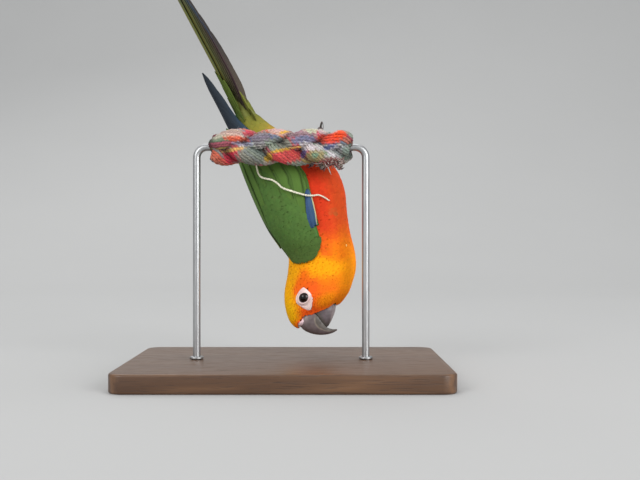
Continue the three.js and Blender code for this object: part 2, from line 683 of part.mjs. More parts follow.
for (const foot of FEET) {
  const gripping = footSolid(foot).subtract(perchGrown);
  bird.add(meshOf("foot_" + foot.name, gripping, COLOURS.foot, 0.6));
  const feathered = thigh(foot).subtract(torsoGrown).subtract(shank(foot, GAP));
  bird.add(meshOf("leg_" + foot.name, feathered, COLOURS.breast));
}

const stand = new THREE.Group();
const rods = [rod(ROD.left, PERCH.left), rod(ROD.right, PERCH.right)];
const rodRooms = [rod(ROD.left, PERCH.left, GAP), rod(ROD.right, PERCH.right, GAP)];
stand.add(meshOf("stand_base", rodRooms.reduce((s, r) => s.subtract(r), base()), COLOURS.base));
stand.add(meshOf("stand_rod_left", rods[0], COLOURS.rod, 0.3, 1));
stand.add(meshOf("stand_rod_right", rods[1], COLOURS.rod, 0.3, 1));
stand.add(meshOf("perch_rope", rodRooms.reduce((s, r) => s.subtract(r), perchSolid), COLOURS.rope));
stand.add(meshOf("perch_thread", thread(), COLOURS.thread));

const conure = new THREE.Group();
conure.add(bird, stand);

export default conure;
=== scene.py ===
"""Looks of a jenday conure that hangs head down from a cut length of braided rope on a plain display stand.

Forms are worked out in millimetres, the bird's in its own frame, as the solids are: y = 0 is its plane of
symmetry, z = 0 the height of its grip, and its left side is negative y. Meshes are written in metres in the
shared frame.
"""

import logging
import math
from dataclasses import dataclass, field, fields
from enum import Enum
from typing import Callable, Sequence

import bmesh
import bpy
import numpy as np
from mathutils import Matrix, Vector
from mathutils.kdtree import KDTree


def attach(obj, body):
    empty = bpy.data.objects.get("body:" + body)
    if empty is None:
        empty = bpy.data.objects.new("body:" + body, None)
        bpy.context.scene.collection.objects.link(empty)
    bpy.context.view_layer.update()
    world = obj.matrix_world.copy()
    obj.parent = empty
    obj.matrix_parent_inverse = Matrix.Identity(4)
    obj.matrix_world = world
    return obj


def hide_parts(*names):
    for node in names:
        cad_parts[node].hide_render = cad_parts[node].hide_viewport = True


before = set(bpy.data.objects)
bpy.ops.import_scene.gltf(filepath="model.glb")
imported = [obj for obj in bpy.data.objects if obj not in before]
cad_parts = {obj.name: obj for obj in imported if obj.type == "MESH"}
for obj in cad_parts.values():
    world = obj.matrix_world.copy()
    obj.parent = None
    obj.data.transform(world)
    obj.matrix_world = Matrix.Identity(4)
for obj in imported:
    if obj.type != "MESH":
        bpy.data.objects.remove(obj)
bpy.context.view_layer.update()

log = logging.getLogger("conure")
Array = np.ndarray
Field = Callable[[Array, Array], Array]
Socket = bpy.types.NodeSocket
Material = bpy.types.Material
Mesh = bpy.types.Mesh
Piece = bpy.types.Object
Random = np.random.Generator

MM = 0.001
BODY = "root"
# The pieces' own maps and colours: along and across each form, the bake's, and the mesh's own colour.
LIE = "Lie"
BAKE = "OFBake"
TINT = "Tint"
# The side of one small feather's patch on the bake's map.
BAKE_PATCH = 0.003

# Where the bird's frame stands in the shared one, in millimetres, and how it rolls about x.
BIRD_PLACE = (0.0, 38.0, 158.0)
BIRD_ROLL = math.radians(-8)


def lerp(a: Array, b: Array, t: Array) -> Array:
    """The value a share t of the way from a to b."""
    return a + (b - a) * t


def smooth(x: Array, low: float, high: float) -> Array:
    """A smooth step from 0 at low to 1 at high."""
    t = np.clip((x - low) / (high - low), 0, 1)
    return t * t * (3 - 2 * t)


def unit(v: Array) -> Array:
    """Vectors at length one."""
    return v / np.maximum(np.linalg.norm(v, axis=-1, keepdims=True), 1e-9)


def linear(code: str) -> Array:
    """The linear colour of a hex code as a screen shows it."""
    value = np.array([int(code[i:i + 2], 16) / 255 for i in (0, 2, 4)])
    return np.where(value <= 0.04045, value / 12.92, ((value + 0.055) / 1.055) ** 2.4)


def wash(under: Array, code: str, share: Array) -> Array:
    """A colour with a hex code's colour over it, as densely as a share says."""
    return lerp(under, linear(code), np.asarray(share)[..., None])


def closing(v: Array, cap: float) -> Array:
    """A share that is 0 at both ends of a form and 1 from a share cap of its length on."""
    return np.clip(np.minimum(v, 1 - v) / cap, 0, 1)


def from_back(degrees: Array) -> Array:
    """Degrees round from the back on either side, from 0 to 180."""
    return np.abs((degrees + 180) % 360 - 180)


def within(ring: Array, x: Array, y: Array) -> Array:
    """Whether places lie in a closed outline of [x, y] corners."""
    inside = np.zeros(x.shape, bool)
    for (xa, ya), (xb, yb) in zip(ring, np.roll(ring, -1, 0)):
        crosses = (ya > y) != (yb > y)
        inside ^= crosses & (x < (xb - xa) * (y - ya) / (yb - ya + 1e-12) + xa)
    return inside


def to_metres(points: Array) -> Array:
    """Points of the bird's frame, in millimetres, in metres in the shared frame."""
    c, s = math.cos(BIRD_ROLL), math.sin(BIRD_ROLL)
    x, y, z = points[..., 0], points[..., 1], points[..., 2]
    turned = np.stack([x, y * c - z * s, y * s + z * c], -1)
    return (turned + np.array(BIRD_PLACE)) * MM


def to_bird(points: Sequence[float]) -> Array:
    """Points of the shared frame, in millimetres, in the bird's frame."""
    p = np.asarray(points, float) - np.array(BIRD_PLACE)
    c, s = math.cos(BIRD_ROLL), math.sin(BIRD_ROLL)
    return np.stack([p[..., 0], p[..., 1] * c + p[..., 2] * s, -p[..., 1] * s + p[..., 2] * c], -1)


class Side(Enum):
    """The bird's two sides, as the sign that a place on its left is multiplied with."""

    LEFT = 1
    RIGHT = -1

    @property
    def word(self) -> str:
        """The side's name in a piece's name."""
        return self.name.lower()

    def of(self, points: Array) -> Array:
        """Points of the left side on this side."""
        return points * np.array([1, self.value, 1])


class Curve:
    """A smooth curve through points."""

    def __init__(self, points: Sequence[Sequence[float]]) -> None:
        """Keeps the points, with one more at each end."""
        p = np.asarray(points, float)
        self.points = np.vstack([2 * p[0] - p[1], p, 2 * p[-1] - p[-2]])
        self.spans = len(p) - 1

    def at(self, place: Array) -> Array:
        """The curve's point at a place, which counts its points from 0."""
        place = np.clip(np.asarray(place, float), 0, self.spans)
        low = np.minimum(place.astype(int), self.spans - 1)
        t = (place - low)[..., None]
        a, b, c, d = (self.points[low + k] for k in range(4))
        start, end = (c - a) / 2, (d - b) / 2
        return b + t * (start + t * (3 * (c - b) - 2 * start - end + t * (2 * (b - c) + start + end)))


class Shell:
    """A surface through stations: back and belly as [x, z], half the width, the belly's extra fullness."""

    def __init__(self, stations: Sequence[tuple]) -> None:
        """Keeps a curve through the stations' backs and one through their bellies."""
        self.back = Curve([(b[0], half, b[1]) for b, _, half, _ in stations])
        self.belly = Curve([(v[0], full, v[1]) for _, v, _, full in stations])

    def bare(self, station: Array, degrees: Array) -> Array:
        """A point of the surface: its station and the degrees round from the back to the belly."""
        back, belly = self.back.at(station), self.belly.at(station)
        turn = np.radians(degrees)
        along = (1 - np.cos(turn)) / 2
        half = back[..., 1] * np.sin(turn) * (1 - belly[..., 1] * np.cos(turn))
        x, z = (lerp(back[..., k], belly[..., k], along) for k in (0, 2))
        return np.stack([x, -half, z], -1)

    def normal(self, station: Array, degrees: Array) -> Array:
        """The outward normal at a place."""
        along = self.bare(station + 0.05, degrees) - self.bare(station - 0.05, degrees)
        turned = self.bare(station, degrees + 1) - self.bare(station, degrees - 1)
        return unit(np.cross(turned, along))

    def place(self, station: Array, degrees: Array, lift: Array = 0.0) -> Array:
        """A point at a height over the surface."""
        given = (np.asarray(v, float) for v in (station, degrees, lift))
        station, degrees, lift = np.broadcast_arrays(*given)
        return self.bare(station, degrees) + self.normal(station, degrees) * lift[..., None]


# Stations of the trunk from the forehead to the tail, for a Shell.
STATIONS = (
    ((12.9, -126.4), (26.6, -116.6), 4, 0), ((7, -128.6), (33, -114.2), 5.8, 0),
    ((2, -124.6), (36.7, -111.2), 8.6, 0.03), ((-0.8, -118), (39.8, -107.5), 13.2, 0.05),
    ((-2.2, -110), (42.9, -102.6), 16.2, 0.07), ((-2, -101.4), (45, -96.6), 17.2, 0.07),
    ((0, -90), (47.4, -87.2), 18, 0.06), ((0.4, -78.8), (46.9, -76), 19.6, 0.04),
    ((-4, -69.5), (43.6, -62.2), 22.2, 0.02), ((-11, -59.6), (41.4, -47.6), 23.8, 0),
    ((-17.4, -47.2), (39.9, -32.2), 24.2, 0), ((-23, -34.6), (34.6, -18), 23.4, 0),
    ((-28, -22), (25, -6.6), 21, 0), ((-31.4, -10), (10.6, 2.2), 17.4, 0),
    ((-33.4, 0.2), (-3, 9.4), 14, 0), ((-35.6, 8.6), (-12.6, 15.6), 11.4, 0),
    ((-37.6, 16.4), (-21.4, 22.8), 9.4, 0),
)
# The wings lie on the trunk from this station, and then on a shape of their own beside the tail.
WING_FROM = 6
WING_STATIONS = STATIONS[WING_FROM:13] + (
    ((-32.4, -10), (14.8, 6.4), 17.8, 0), ((-37, 1.6), (1.6, 17), 14.6, 0),
    ((-43.4, 13.6), (-11, 29), 11.8, 0), ((-50, 26.8), (-23, 41.4), 9.4, 0),
    ((-57.2, 40.8), (-35, 54), 7.6, 0), ((-64.2, 54.8), (-46.2, 66.6), 6.2, 0),
)
# Degrees round from the back to a wing's trailing and leading edge at each of its stations.
WING_TRAIL = (32, 17, 6.5, 5, 4, 4, 4, 5, 7, 10, 14, 18, 22)
WING_LEAD = (84, 91, 97, 99, 99, 103, 99, 86, 67, 56, 52, 48, 44)
TRUNK = Shell(STATIONS)
FLANK = Shell(WING_STATIONS)


# Finishes

class Nodes:
    """A material in the making."""

    def __init__(self, name: str, **sockets: object) -> None:
        """Starts a material whose shader has these values.

        Args:
            name: The material's name.
            sockets: Values of the shader's sockets, with underscores for spaces.
        """
        self.material = bpy.data.materials.new(name)
        self.material.use_nodes = True
        self.tree = self.material.node_tree
        self.tree.nodes.clear()
        self.shader = self.tree.nodes.new("ShaderNodeBsdfPrincipled")
        output = self.tree.nodes.new("ShaderNodeOutputMaterial")
        self.tree.links.new(self.shader.outputs["BSDF"], output.inputs["Surface"])
        for socket, value in sockets.items():
            self.shader.inputs[socket.replace("_", " ")].default_value = value

    def put(self, kind: str, inputs: dict | None = None, **settings: object) -> bpy.types.Node:
        """Adds a node.

        Args:
            kind: The node's type, without its "ShaderNode".
            inputs: A value or another node's output for each input, by its name or number.
            settings: The node's own properties.

        Returns:
            The node.
        """
        node = self.tree.nodes.new("ShaderNode" + kind)
        for name, value in settings.items():
            setattr(node, name, value)
        for name, value in (inputs or {}).items():
            if isinstance(value, Socket):
                self.tree.links.new(value, node.inputs[name])
            else:
                node.inputs[name].default_value = value
        return node

    def wire(self, socket: str, value: Socket) -> None:
        """Lets a node's output set one of the shader's sockets."""
        self.tree.links.new(value, self.shader.inputs[socket])

    def math(self, operation: str, *values: object) -> Socket:
        """The result of a sum on values or outputs."""
        return self.put("Math", dict(enumerate(values)), operation=operation).outputs[0]

    def plus(self, first: object, second: object) -> Socket:
        """Two values added."""
        return self.math("ADD", first, second)

    def times(self, first: object, second: object) -> Socket:
        """Two values multiplied."""
        return self.math("MULTIPLY", first, second)

    def scaled(self, value: object, factor: object, offset: object) -> Socket:
        """A value times a factor, and an offset added."""
        return self.math("MULTIPLY_ADD", value, factor, offset)

    def wave(self, turns: object) -> Socket:
        """A sine wave of a value that counts its turns."""
        return self.math("SINE", self.times(turns, 2 * math.pi))

    def coordinates(self, scale: Sequence[float] = (1, 1, 1)) -> Socket:
        """The object's own coordinates, stretched."""
        place = self.put("TexCoord").outputs["Object"]
        return self.put("Mapping", {"Vector": place, "Scale": tuple(scale)}).outputs[0]

    def noise(self, scale: float, detail: float = 3, where: Socket | None = None) -> Socket:
        """A noise from 0 to 1."""
        vector = where or self.coordinates()
        return self.put("TexNoise", {"Vector": vector, "Scale": scale, "Detail": detail}).outputs[0]

    def ramp(self, value: object, low: float, high: float, first: float, last: float) -> Socket:
        """A value from low to high as one from first to last, kept between them."""
        return self.put("MapRange", {0: value, 1: low, 2: high, 3: first, 4: last}).outputs[0]

    def shade(self, colour: object, factor: Socket) -> Socket:
        """A colour made lighter or darker by a factor."""
        return self.put("VectorMath", {0: colour, "Scale": factor}, operation="SCALE").outputs[0]

    def mix(self, share: object, first: object, second: object) -> Socket:
        """Two colours mixed."""
        node = self.put("Mix", data_type="RGBA")
        for socket, value in ((node.inputs[0], share), (node.inputs[6], first), (node.inputs[7], second)):
            if isinstance(value, Socket):
                self.tree.links.new(value, socket)
            else:
                socket.default_value = value if isinstance(value, float) else (*value, 1)
        return node.outputs[2]

    def bump(self, height: Socket, depth: float) -> None:
        """Raises the surface by a height map, depth millimetres high."""
        made = self.put("Bump", {"Height": height, "Distance": depth * MM, "Strength": 0.5})
        self.wire("Normal", made.outputs[0])

    def dye(self, colour: Socket) -> None:
        """Colours the surface."""
        self.wire("Base Color", colour)

    def tint(self) -> Socket:
        """The colour that the piece's own mesh carries."""
        return self.put("Attribute", attribute_name=TINT).outputs["Color"]

    def lie(self) -> tuple[Socket, Socket]:
        """The two coordinates of the piece's own map: across or round it, and along it."""
        parts = self.put("SeparateXYZ", {0: self.put("UVMap", uv_map=LIE).outputs[0]})
        return parts.outputs[0], parts.outputs[1]


@dataclass(frozen=True)
class FeatherFinish:
    """Barbs that slope forward from a shaft, with soft uneven colour.

    Barbs are counted along the feather. Their relief is in millimetres, and fades towards the tip. The shaft
    is how much darker its line is, and the blotch how far the colour's depth varies.
    """

    name: str
    barbs: float = 16
    slope: float = 3.0
    relief: float = 0.008
    shaft: float = 0.0
    rough: float = 0.78
    shine: float = 0.12
    blotch: float = 0.2

    def material(self) -> Material:
        """Makes the material."""
        kit = Nodes(self.name, Roughness=self.rough, Specular_IOR_Level=self.shine)
        across, along = kit.lie()
        out = kit.math("ABSOLUTE", kit.scaled(across, 2.0, -1.0))
        sloped = kit.math("SUBTRACT", kit.times(along, self.barbs), kit.times(out, self.slope))
        wave = kit.wave(kit.plus(sloped, kit.times(kit.noise(900, 2), 1.4)))
        soft = kit.scaled(kit.noise(95, 3), self.blotch, 1 - self.blotch / 2)
        light = kit.plus(soft, kit.times(wave, 0.03))
        if self.shaft:
            light = kit.times(light, kit.ramp(out, 0.02, 0.07, 1 - self.shaft, 1))
        kit.dye(kit.shade(kit.tint(), light))
        kit.bump(kit.times(wave, kit.ramp(along, 0.55, 0.85, 1, 0)), self.relief)
        return kit.material


@dataclass(frozen=True)
class HornFinish:
    """Horn in thin worn layers, as on a bill or a claw."""

    name: str
    pale: str
    dark: str
    rough: float = 0.42
    grain: tuple[float, float, float] = (60, 60, 60)
    relief: float = 0.08

    def material(self) -> Material:
        """Makes the material."""
        kit = Nodes(self.name, Specular_IOR_Level=0.45, Coat_Weight=0.12, Coat_Roughness=0.35)
        streaks = kit.noise(6, 5, kit.coordinates(self.grain))
        blotch = kit.noise(130, 3)
        worn = kit.plus(kit.times(streaks, 0.6), kit.times(blotch, 0.4))
        body = kit.mix(kit.ramp(worn, 0.36, 0.64, 0, 1), linear(self.dark), linear(self.pale))
        kit.dye(kit.put("VectorMath", {0: body, 1: kit.tint()}, operation="MULTIPLY").outputs[0])
        kit.wire("Roughness", kit.ramp(kit.noise(420, 3), 0.3, 0.7, self.rough - 0.1, self.rough + 0.14))
        kit.bump(kit.plus(streaks, kit.times(kit.noise(900, 2), 0.3)), self.relief)
        return kit.material


@dataclass(frozen=True)
class SkinFinish:
    """Bare or thinly covered skin with fine wrinkles."""

    name: str
    scale: float = 1400
    relief: float = 0.12
    rough: float = 0.6

    def material(self) -> Material:
        """Makes the material."""
        kit = Nodes(self.name, Roughness=self.rough, Specular_IOR_Level=0.3)
        cells = kit.put("TexVoronoi", {"Vector": kit.coordinates(), "Scale": self.scale}).outputs["Distance"]
        light = kit.plus(kit.scaled(kit.noise(350, 4), 0.26, 0.84), kit.times(cells, 0.1))
        kit.dye(kit.shade(kit.tint(), light))
        kit.bump(cells, self.relief)
        return kit.material


@dataclass(frozen=True)
class EyeFinish:
    """A wet eye, its iris and pupil in the mesh's own colour."""

    name: str = "wet_eye"

    def material(self) -> Material:
        """Makes the material."""
        kit = Nodes(self.name, Roughness=0.3, Coat_Weight=0.5, Coat_Roughness=0.02, Specular_IOR_Level=0.12)
        around, outward = kit.lie()
        rays = kit.math("SINE", kit.scaled(around, 190.0, kit.times(outward, 30.0)))
        kit.dye(kit.shade(kit.tint(), kit.scaled(rays, 0.12, 1.0)))
        return kit.material


@dataclass(frozen=True)
class YarnFinish:
    """Spun cotton: fibres that wind round the yarn, matt and a little dirty."""

    name: str
    winds: float = 60
    relief: float = 0.22

    def material(self) -> Material:
        """Makes the material."""
        kit = Nodes(self.name, Roughness=0.92, Sheen_Weight=0.1, Sheen_Roughness=0.6, Specular_IOR_Level=0.1)
        around, along = kit.lie()
        turns = kit.plus(kit.times(along, self.winds), kit.times(around, 2.0))
        wound = kit.wave(kit.plus(turns, kit.noise(1500, 3)))
        fibre = kit.noise(1300, 5)
        light = kit.plus(kit.scaled(fibre, 1.5, 0.22), kit.times(wound, 0.1))
        dirt = kit.ramp(kit.noise(110, 5), 0.35, 0.7, 0.72, 1.08)
        kit.dye(kit.shade(kit.tint(), kit.times(light, dirt)))
        kit.bump(kit.plus(wound, fibre), self.relief)
        return kit.material


@dataclass(frozen=True)
class WoodFinish:
    """Oiled dark wood, its grain along the board."""

    name: str = "oiled_wood"
    pale: str = "7a583c"
    dark: str = "3a2518"

    def material(self) -> Material:
        """Makes the material."""
        kit = Nodes(self.name, Specular_IOR_Level=0.4, Coat_Weight=0.15, Coat_Roughness=0.3)
        bend = kit.noise(5, 3, kit.coordinates((1, 6, 6)))
        grain = {"Vector": kit.coordinates((0.6, 9, 9)), "Scale": 7.0, "Distortion": 5.0, "Detail": 3.0,
                 "Detail Scale": 1.6}
        ring = kit.put("TexWave", grain, bands_direction="Y").outputs[0]
        pores = kit.ramp(kit.noise(60, 2, kit.coordinates((1.2, 38, 38))), 0.56, 0.68, 0, 1)
        share = kit.plus(kit.times(ring, 0.55), kit.times(bend, 0.5))
        body = kit.mix(share, linear(self.dark), linear(self.pale))
        kit.dye(kit.mix(kit.times(pores, 0.55), body, linear("2a190f")))
        kit.wire("Roughness", kit.ramp(pores, 0, 1, 0.38, 0.6))
        kit.bump(kit.math("SUBTRACT", kit.times(ring, 0.3), pores), 0.12)
        return kit.material


@dataclass(frozen=True)
class SteelFinish:
    """Brushed steel, its marks along the rod."""

    name: str = "brushed_steel"

    def material(self) -> Material:
        """Makes the material."""
        kit = Nodes(self.name, Metallic=1.0)
        marks = kit.noise(60, 4, kit.coordinates((40, 40, 1.5)))
        kit.dye(kit.shade((0.42, 0.425, 0.43), kit.scaled(marks, 0.4, 0.78)))
        kit.wire("Roughness", kit.ramp(marks, 0.3, 0.7, 0.3, 0.48))
        kit.bump(marks, 0.02)
        return kit.material


@dataclass(frozen=True)
class FloorFinish:
    """A plain pale studio floor."""

    name: str = "pale_floor"

    def material(self) -> Material:
        """Makes the material."""
        kit = Nodes(self.name, Roughness=0.85, Specular_IOR_Level=0.2)
        kit.dye(kit.shade((0.47, 0.47, 0.465), kit.scaled(kit.noise(3, 2), 0.04, 0.98)))
        return kit.material


# Making meshes

def dress(piece: Piece, finish: Material,
          replaces: Sequence[str] = ()) -> None:
    """Gives a piece its material, lets it ride on the body and hides the solids that it stands for.

    Args:
        piece: The finished piece.
        finish: Its material.
        replaces: The solids that it stands for.
    """
    piece.data.materials.clear()
    piece.data.materials.append(finish)
    piece.data.polygons.foreach_set("use_smooth", [True] * len(piece.data.polygons))
    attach(piece, BODY)
    if replaces:
        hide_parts(*replaces)
    log.info("%s: %d faces", piece.name, len(piece.data.polygons))


def linked(name: str, mesh: Mesh) -> Piece:
    """An object at the origin that shows a mesh."""
    piece = bpy.data.objects.new(name, mesh)
    bpy.context.scene.collection.objects.link(piece)
    return piece


def paint(mesh: Mesh, colours: Array) -> None:
    """Writes a colour for each corner into the mesh's own tint."""
    tint = mesh.attributes.get(TINT) or mesh.attributes.new(TINT, "FLOAT_COLOR", "POINT")
    filled = np.column_stack([colours, np.ones(len(colours))])
    tint.data.foreach_set("color", filled.astype(np.float32).ravel())


class Clay:
    """Closed forms, each grown from a flat grid, in one mesh. Points are in metres in the shared frame."""

    def __init__(self) -> None:
        """Starts an empty mesh with a map along each form and a colour at each corner."""
        self.bm = bmesh.new()
        self.bm.loops.layers.uv.new(LIE)
        self.tint = self.bm.verts.layers.float_color.new(TINT)

    def grow(self, columns: int, rows: int, shape: Field, tint: Field | Array) -> None:
        """Adds one form. Its seam and its ends close where the shape brings them together.

        Args:
            columns: Faces round the form.
            rows: Faces along it.
            shape: Points at shares u round it and v along it.
            tint: Its colour, or colours at those shares.
        """
        grid = {"x_segments": columns, "y_segments": rows, "size": 0.5, "calc_uvs": True}
        made = bmesh.ops.create_grid(self.bm, **grid)["verts"]
        flat = np.array([v.co[:2] for v in made]) + 0.5
        u, v = flat[:, 0], flat[:, 1]
        points = shape(u, v)
        colours = tint(u, v) if callable(tint) else np.broadcast_to(tint, points.shape)
        for vertex, point, colour in zip(made, points, colours):
            vertex.co = point
            vertex[self.tint] = (*colour, 1)
        bmesh.ops.remove_doubles(self.bm, verts=made, dist=2e-7)

    def piece(self, name: str) -> Piece:
        """The mesh as an object, its faces outward."""
        bmesh.ops.recalc_face_normals(self.bm, faces=self.bm.faces[:])
        mesh = bpy.data.meshes.new(name)
        self.bm.to_mesh(mesh)
        self.bm.free()
        return linked(name, mesh)


def tube(line: Array, radius: Callable[[Array, Array], Array], scale: float = MM) -> Field:
    """The shape of a tube along a line, for Clay.grow.

    Args:
        line: Many points along its middle.
        radius: Its radius at shares u round it and v along it. It closes where that is nothing.
        scale: What the points are multiplied with.

    Returns:
        The shape.
    """
    tangent = unit(np.gradient(line, axis=0))
    side = np.zeros_like(line)
    side[0] = unit(np.cross(tangent[0], [0.3, 0.9, 0.2]))
    for i in range(1, len(line)):
        side[i] = unit(side[i - 1] - tangent[i] * np.dot(side[i - 1], tangent[i]))
    other = np.cross(tangent, side)
    count = len(line) - 1

    def shape(u: Array, v: Array) -> Array:
        place = v * count
        low = np.minimum(place.astype(int), count - 1)
        t = (place - low)[:, None]
        middle, a, b = (lerp(x[low], x[low + 1], t) for x in (line, side, other))
        turn = (2 * math.pi * u)[:, None]
        return (middle + (np.cos(turn) * unit(a) + np.sin(turn) * unit(b)) * radius(u, v)[:, None]) * scale

    return shape


def rounded(v: Array, cap: float) -> Array:
    """A radius share that closes both ends of a form, each over a share cap of its length, in a round."""
    return np.sqrt(np.clip(1 - (1 - closing(v, cap)) ** 2, 0, 1))


@dataclass
class Template:
    """One feather's corners and faces, repeated for all feathers of a coat."""

    across: Array
    along: Array
    side: Array
    faces: Array

    @classmethod
    def of(cls, bm: bmesh.types.BMesh) -> "Template":
        """Reads a template out of a mesh that lies on the unit square, with its corners' sides in z."""
        bmesh.ops.triangulate(bm, faces=bm.faces[:])
        bm.verts.index_update()
        co = np.array([v.co[:] for v in bm.verts])
        faces = np.array([[v.index for v in f.verts] for f in bm.faces])
        bm.free()
        return cls(co[:, 0] * 2, co[:, 1] + 0.5, co[:, 2], faces)

    @classmethod
    def barbed(cls, barbs: int) -> "Template":
        """A small feather: two rows of faces on each side, closed along its saw-toothed edge."""
        bm = bmesh.new()
        bmesh.ops.create_grid(bm, x_segments=2, y_segments=2 * barbs, size=0.5)
        bmesh.ops.duplicate(bm, geom=bm.faces[:])
        halves = list(bm.faces)
        under = set(halves[len(halves) // 2:])
        bmesh.ops.reverse_faces(bm, faces=list(under))
        for vertex in bm.verts:
            inner = abs(vertex.co.x) < 0.1 and abs(vertex.co.y) < 0.49
            below = all(f in under for f in vertex.link_faces)
            vertex.co.z = (-1 if below else 1) if inner else 0
        bmesh.ops.remove_doubles(bm, verts=bm.verts[:], dist=1e-5)
        return cls.of(bm)

    @classmethod
    def round(cls, columns: int, rows: int) -> "Template":
        """A closed tube, its share round it in across and its share along it in along."""
        bm = bmesh.new()
        places = [r / rows - 0.5 for r in range(rows + 1)]
        rings = [[bm.verts.new((c / columns / 2, y, 0)) for c in range(columns)] for y in places]
        for low, high in zip(rings, rings[1:]):
            for c in range(columns):
                bm.faces.new((low[c], low[(c + 1) % columns], high[(c + 1) % columns], high[c]))
        bm.faces.new(rings[0][::-1])
        bm.faces.new(rings[-1])
        return cls.of(bm)

    @classmethod
    def vane(cls, columns: int, rows: int) -> "Template":
        """A long feather: a slab whose lower face has side -1."""
        bm = bmesh.new()
        bmesh.ops.create_grid(bm, x_segments=columns, y_segments=rows, size=0.5)
        bmesh.ops.solidify(bm, geom=bm.faces[:], thickness=1)
        middle = sum(v.co.z for v in bm.verts) / len(bm.verts)
        for vertex in bm.verts:
            vertex.co.z = 1 if vertex.co.z > middle else -1
        bmesh.ops.recalc_face_normals(bm, faces=bm.faces[:])
        return cls.of(bm)


class Coat:
    """Feathers gathered into one mesh."""

    def __init__(self) -> None:
        """Starts with no feathers."""
        self.points: list[Array] = []
        self.faces: list[Array] = []
        self.lie: list[Array] = []
        self.bake: list[Array] = []
        self.tint: list[Array] = []
        self.calm: list[Array] = []
        self.count = 0

    def add(self, points: Array, template: Template, bake: Array, tint: Array, mirrored: bool = False,
            calm: Array | None = None) -> None:
        """Adds feathers of one template.

        Args:
            points: Their corners in metres, feathers by corners by three.
            template: The template.
            bake: Their corners' places on the bake's map.
            tint: Their corners' colours.
            mirrored: Whether the feathers are turned inside out by a mirror.
            calm: What is added to their corners' normals, so that the light runs smoothly over the coat.
        """
        feathers, corners = points.shape[:2]
        faces = template.faces[:, ::-1] if mirrored else template.faces
        starts = (np.arange(feathers) * corners)[:, None, None] + self.count
        self.faces.append((faces[None] + starts).reshape(-1, 3))
        self.points.append(points.reshape(-1, 3))
        lie = np.stack([template.across * 0.5 + 0.5, template.along], -1)
        self.lie.append(np.broadcast_to(lie, (feathers, corners, 2)).reshape(-1, 2))
        self.bake.append(bake.reshape(-1, 2))
        self.tint.append(np.broadcast_to(tint, points.shape).reshape(-1, 3))
        self.calm.append((np.zeros_like(points) if calm is None else calm).reshape(-1, 3))
        self.count += feathers * corners

    def piece(self, name: str) -> Piece:
        """The feathers as one object."""
        points, faces = np.vstack(self.points), np.vstack(self.faces)
        mesh = bpy.data.meshes.new(name)
        mesh.from_pydata(points.tolist(), [], faces.tolist())
        corners = faces.ravel()
        for label, values in ((LIE, self.lie), (BAKE, self.bake)):
            layer = mesh.uv_layers.new(name=label)
            layer.data.foreach_set("uv", np.vstack(values)[corners].astype(np.float32).ravel())
        paint(mesh, np.vstack(self.tint))
        mesh.polygons.foreach_set("use_smooth", [True] * len(faces))
        own = np.empty(points.size)
        mesh.vertex_normals.foreach_get("vector", own)
        mesh.normals_split_custom_set_from_vertices(unit(own.reshape(-1, 3) + np.vstack(self.calm)).tolist())
        return linked(name, mesh)


# The ground that small feathers grow on

class Ground:
    """A surface with two coordinates, on which feathers lie along the first."""

    spans: tuple[float, float] = (16, 360)

    def point(self, a: Array, b: Array, lift: Array) -> Array:
        """A point in the bird's frame, in millimetres."""
        raise NotImplementedError

    def metric(self, a: Array, b: Array) -> tuple[Array, Array]:
        """Millimetres for one step of each coordinate at a place."""
        da, db = (span / 4000 for span in self.spans)
        sizes = []
        for low, high, step in (((a - da, b), (a + da, b), da), ((a, b - db), (a, b + db), db)):
            gap = self.point(*high, np.zeros_like(a)) - self.point(*low, np.zeros_like(a))
            sizes.append(np.maximum(np.linalg.norm(gap, axis=-1) / (2 * step), 1e-3))
        return sizes[0], sizes[1]

    def bake(self, a: Array, b: Array) -> Array:
        """The place on the bake's map."""
        return np.stack([(b / self.spans[1]) % 1, a / self.spans[0]], -1) * 0.98 + 0.01


class TrunkGround(Ground):
    """The body: stations from the face to the tail, and degrees round from the back."""

    def point(self, a: Array, b: Array, lift: Array) -> Array:
        """A point in the bird's frame."""
        return TRUNK.place(a, b, lift)


@dataclass
class Tract:
    """Small feathers with their roots, sizes and colours."""

    a: Array
    b: Array
    length: Array
    half: Array
    depth: Array
    tip: Array
    turn: Array
    tint: Array

    def pick(self, keep: Array) -> "Tract":
        """The feathers that keep says."""
        return Tract(*(getattr(self, one.name)[keep] for one in fields(self)))


# How small feathers lie: the power with which they rise from root to tip, how far their tips and undersides
# sink as shares of their half width, and how far the normals of their two faces follow the ground's.
RISE = 0.55
TIP_SINKS = 0.12
UNDER_SINKS = 0.055
CALM_OVER, CALM_UNDER = 3.5, 9


def feather_half(along: Array) -> Array:
    """Half a small feather's width along it, as a share."""
    body = lerp(0.3, 1.0, smooth(along, 0, 0.55))
    return body * np.sqrt(np.clip(1 - (np.clip(along - 0.62, 0, 1) / 0.4) ** 2.2, 0.02, 1))


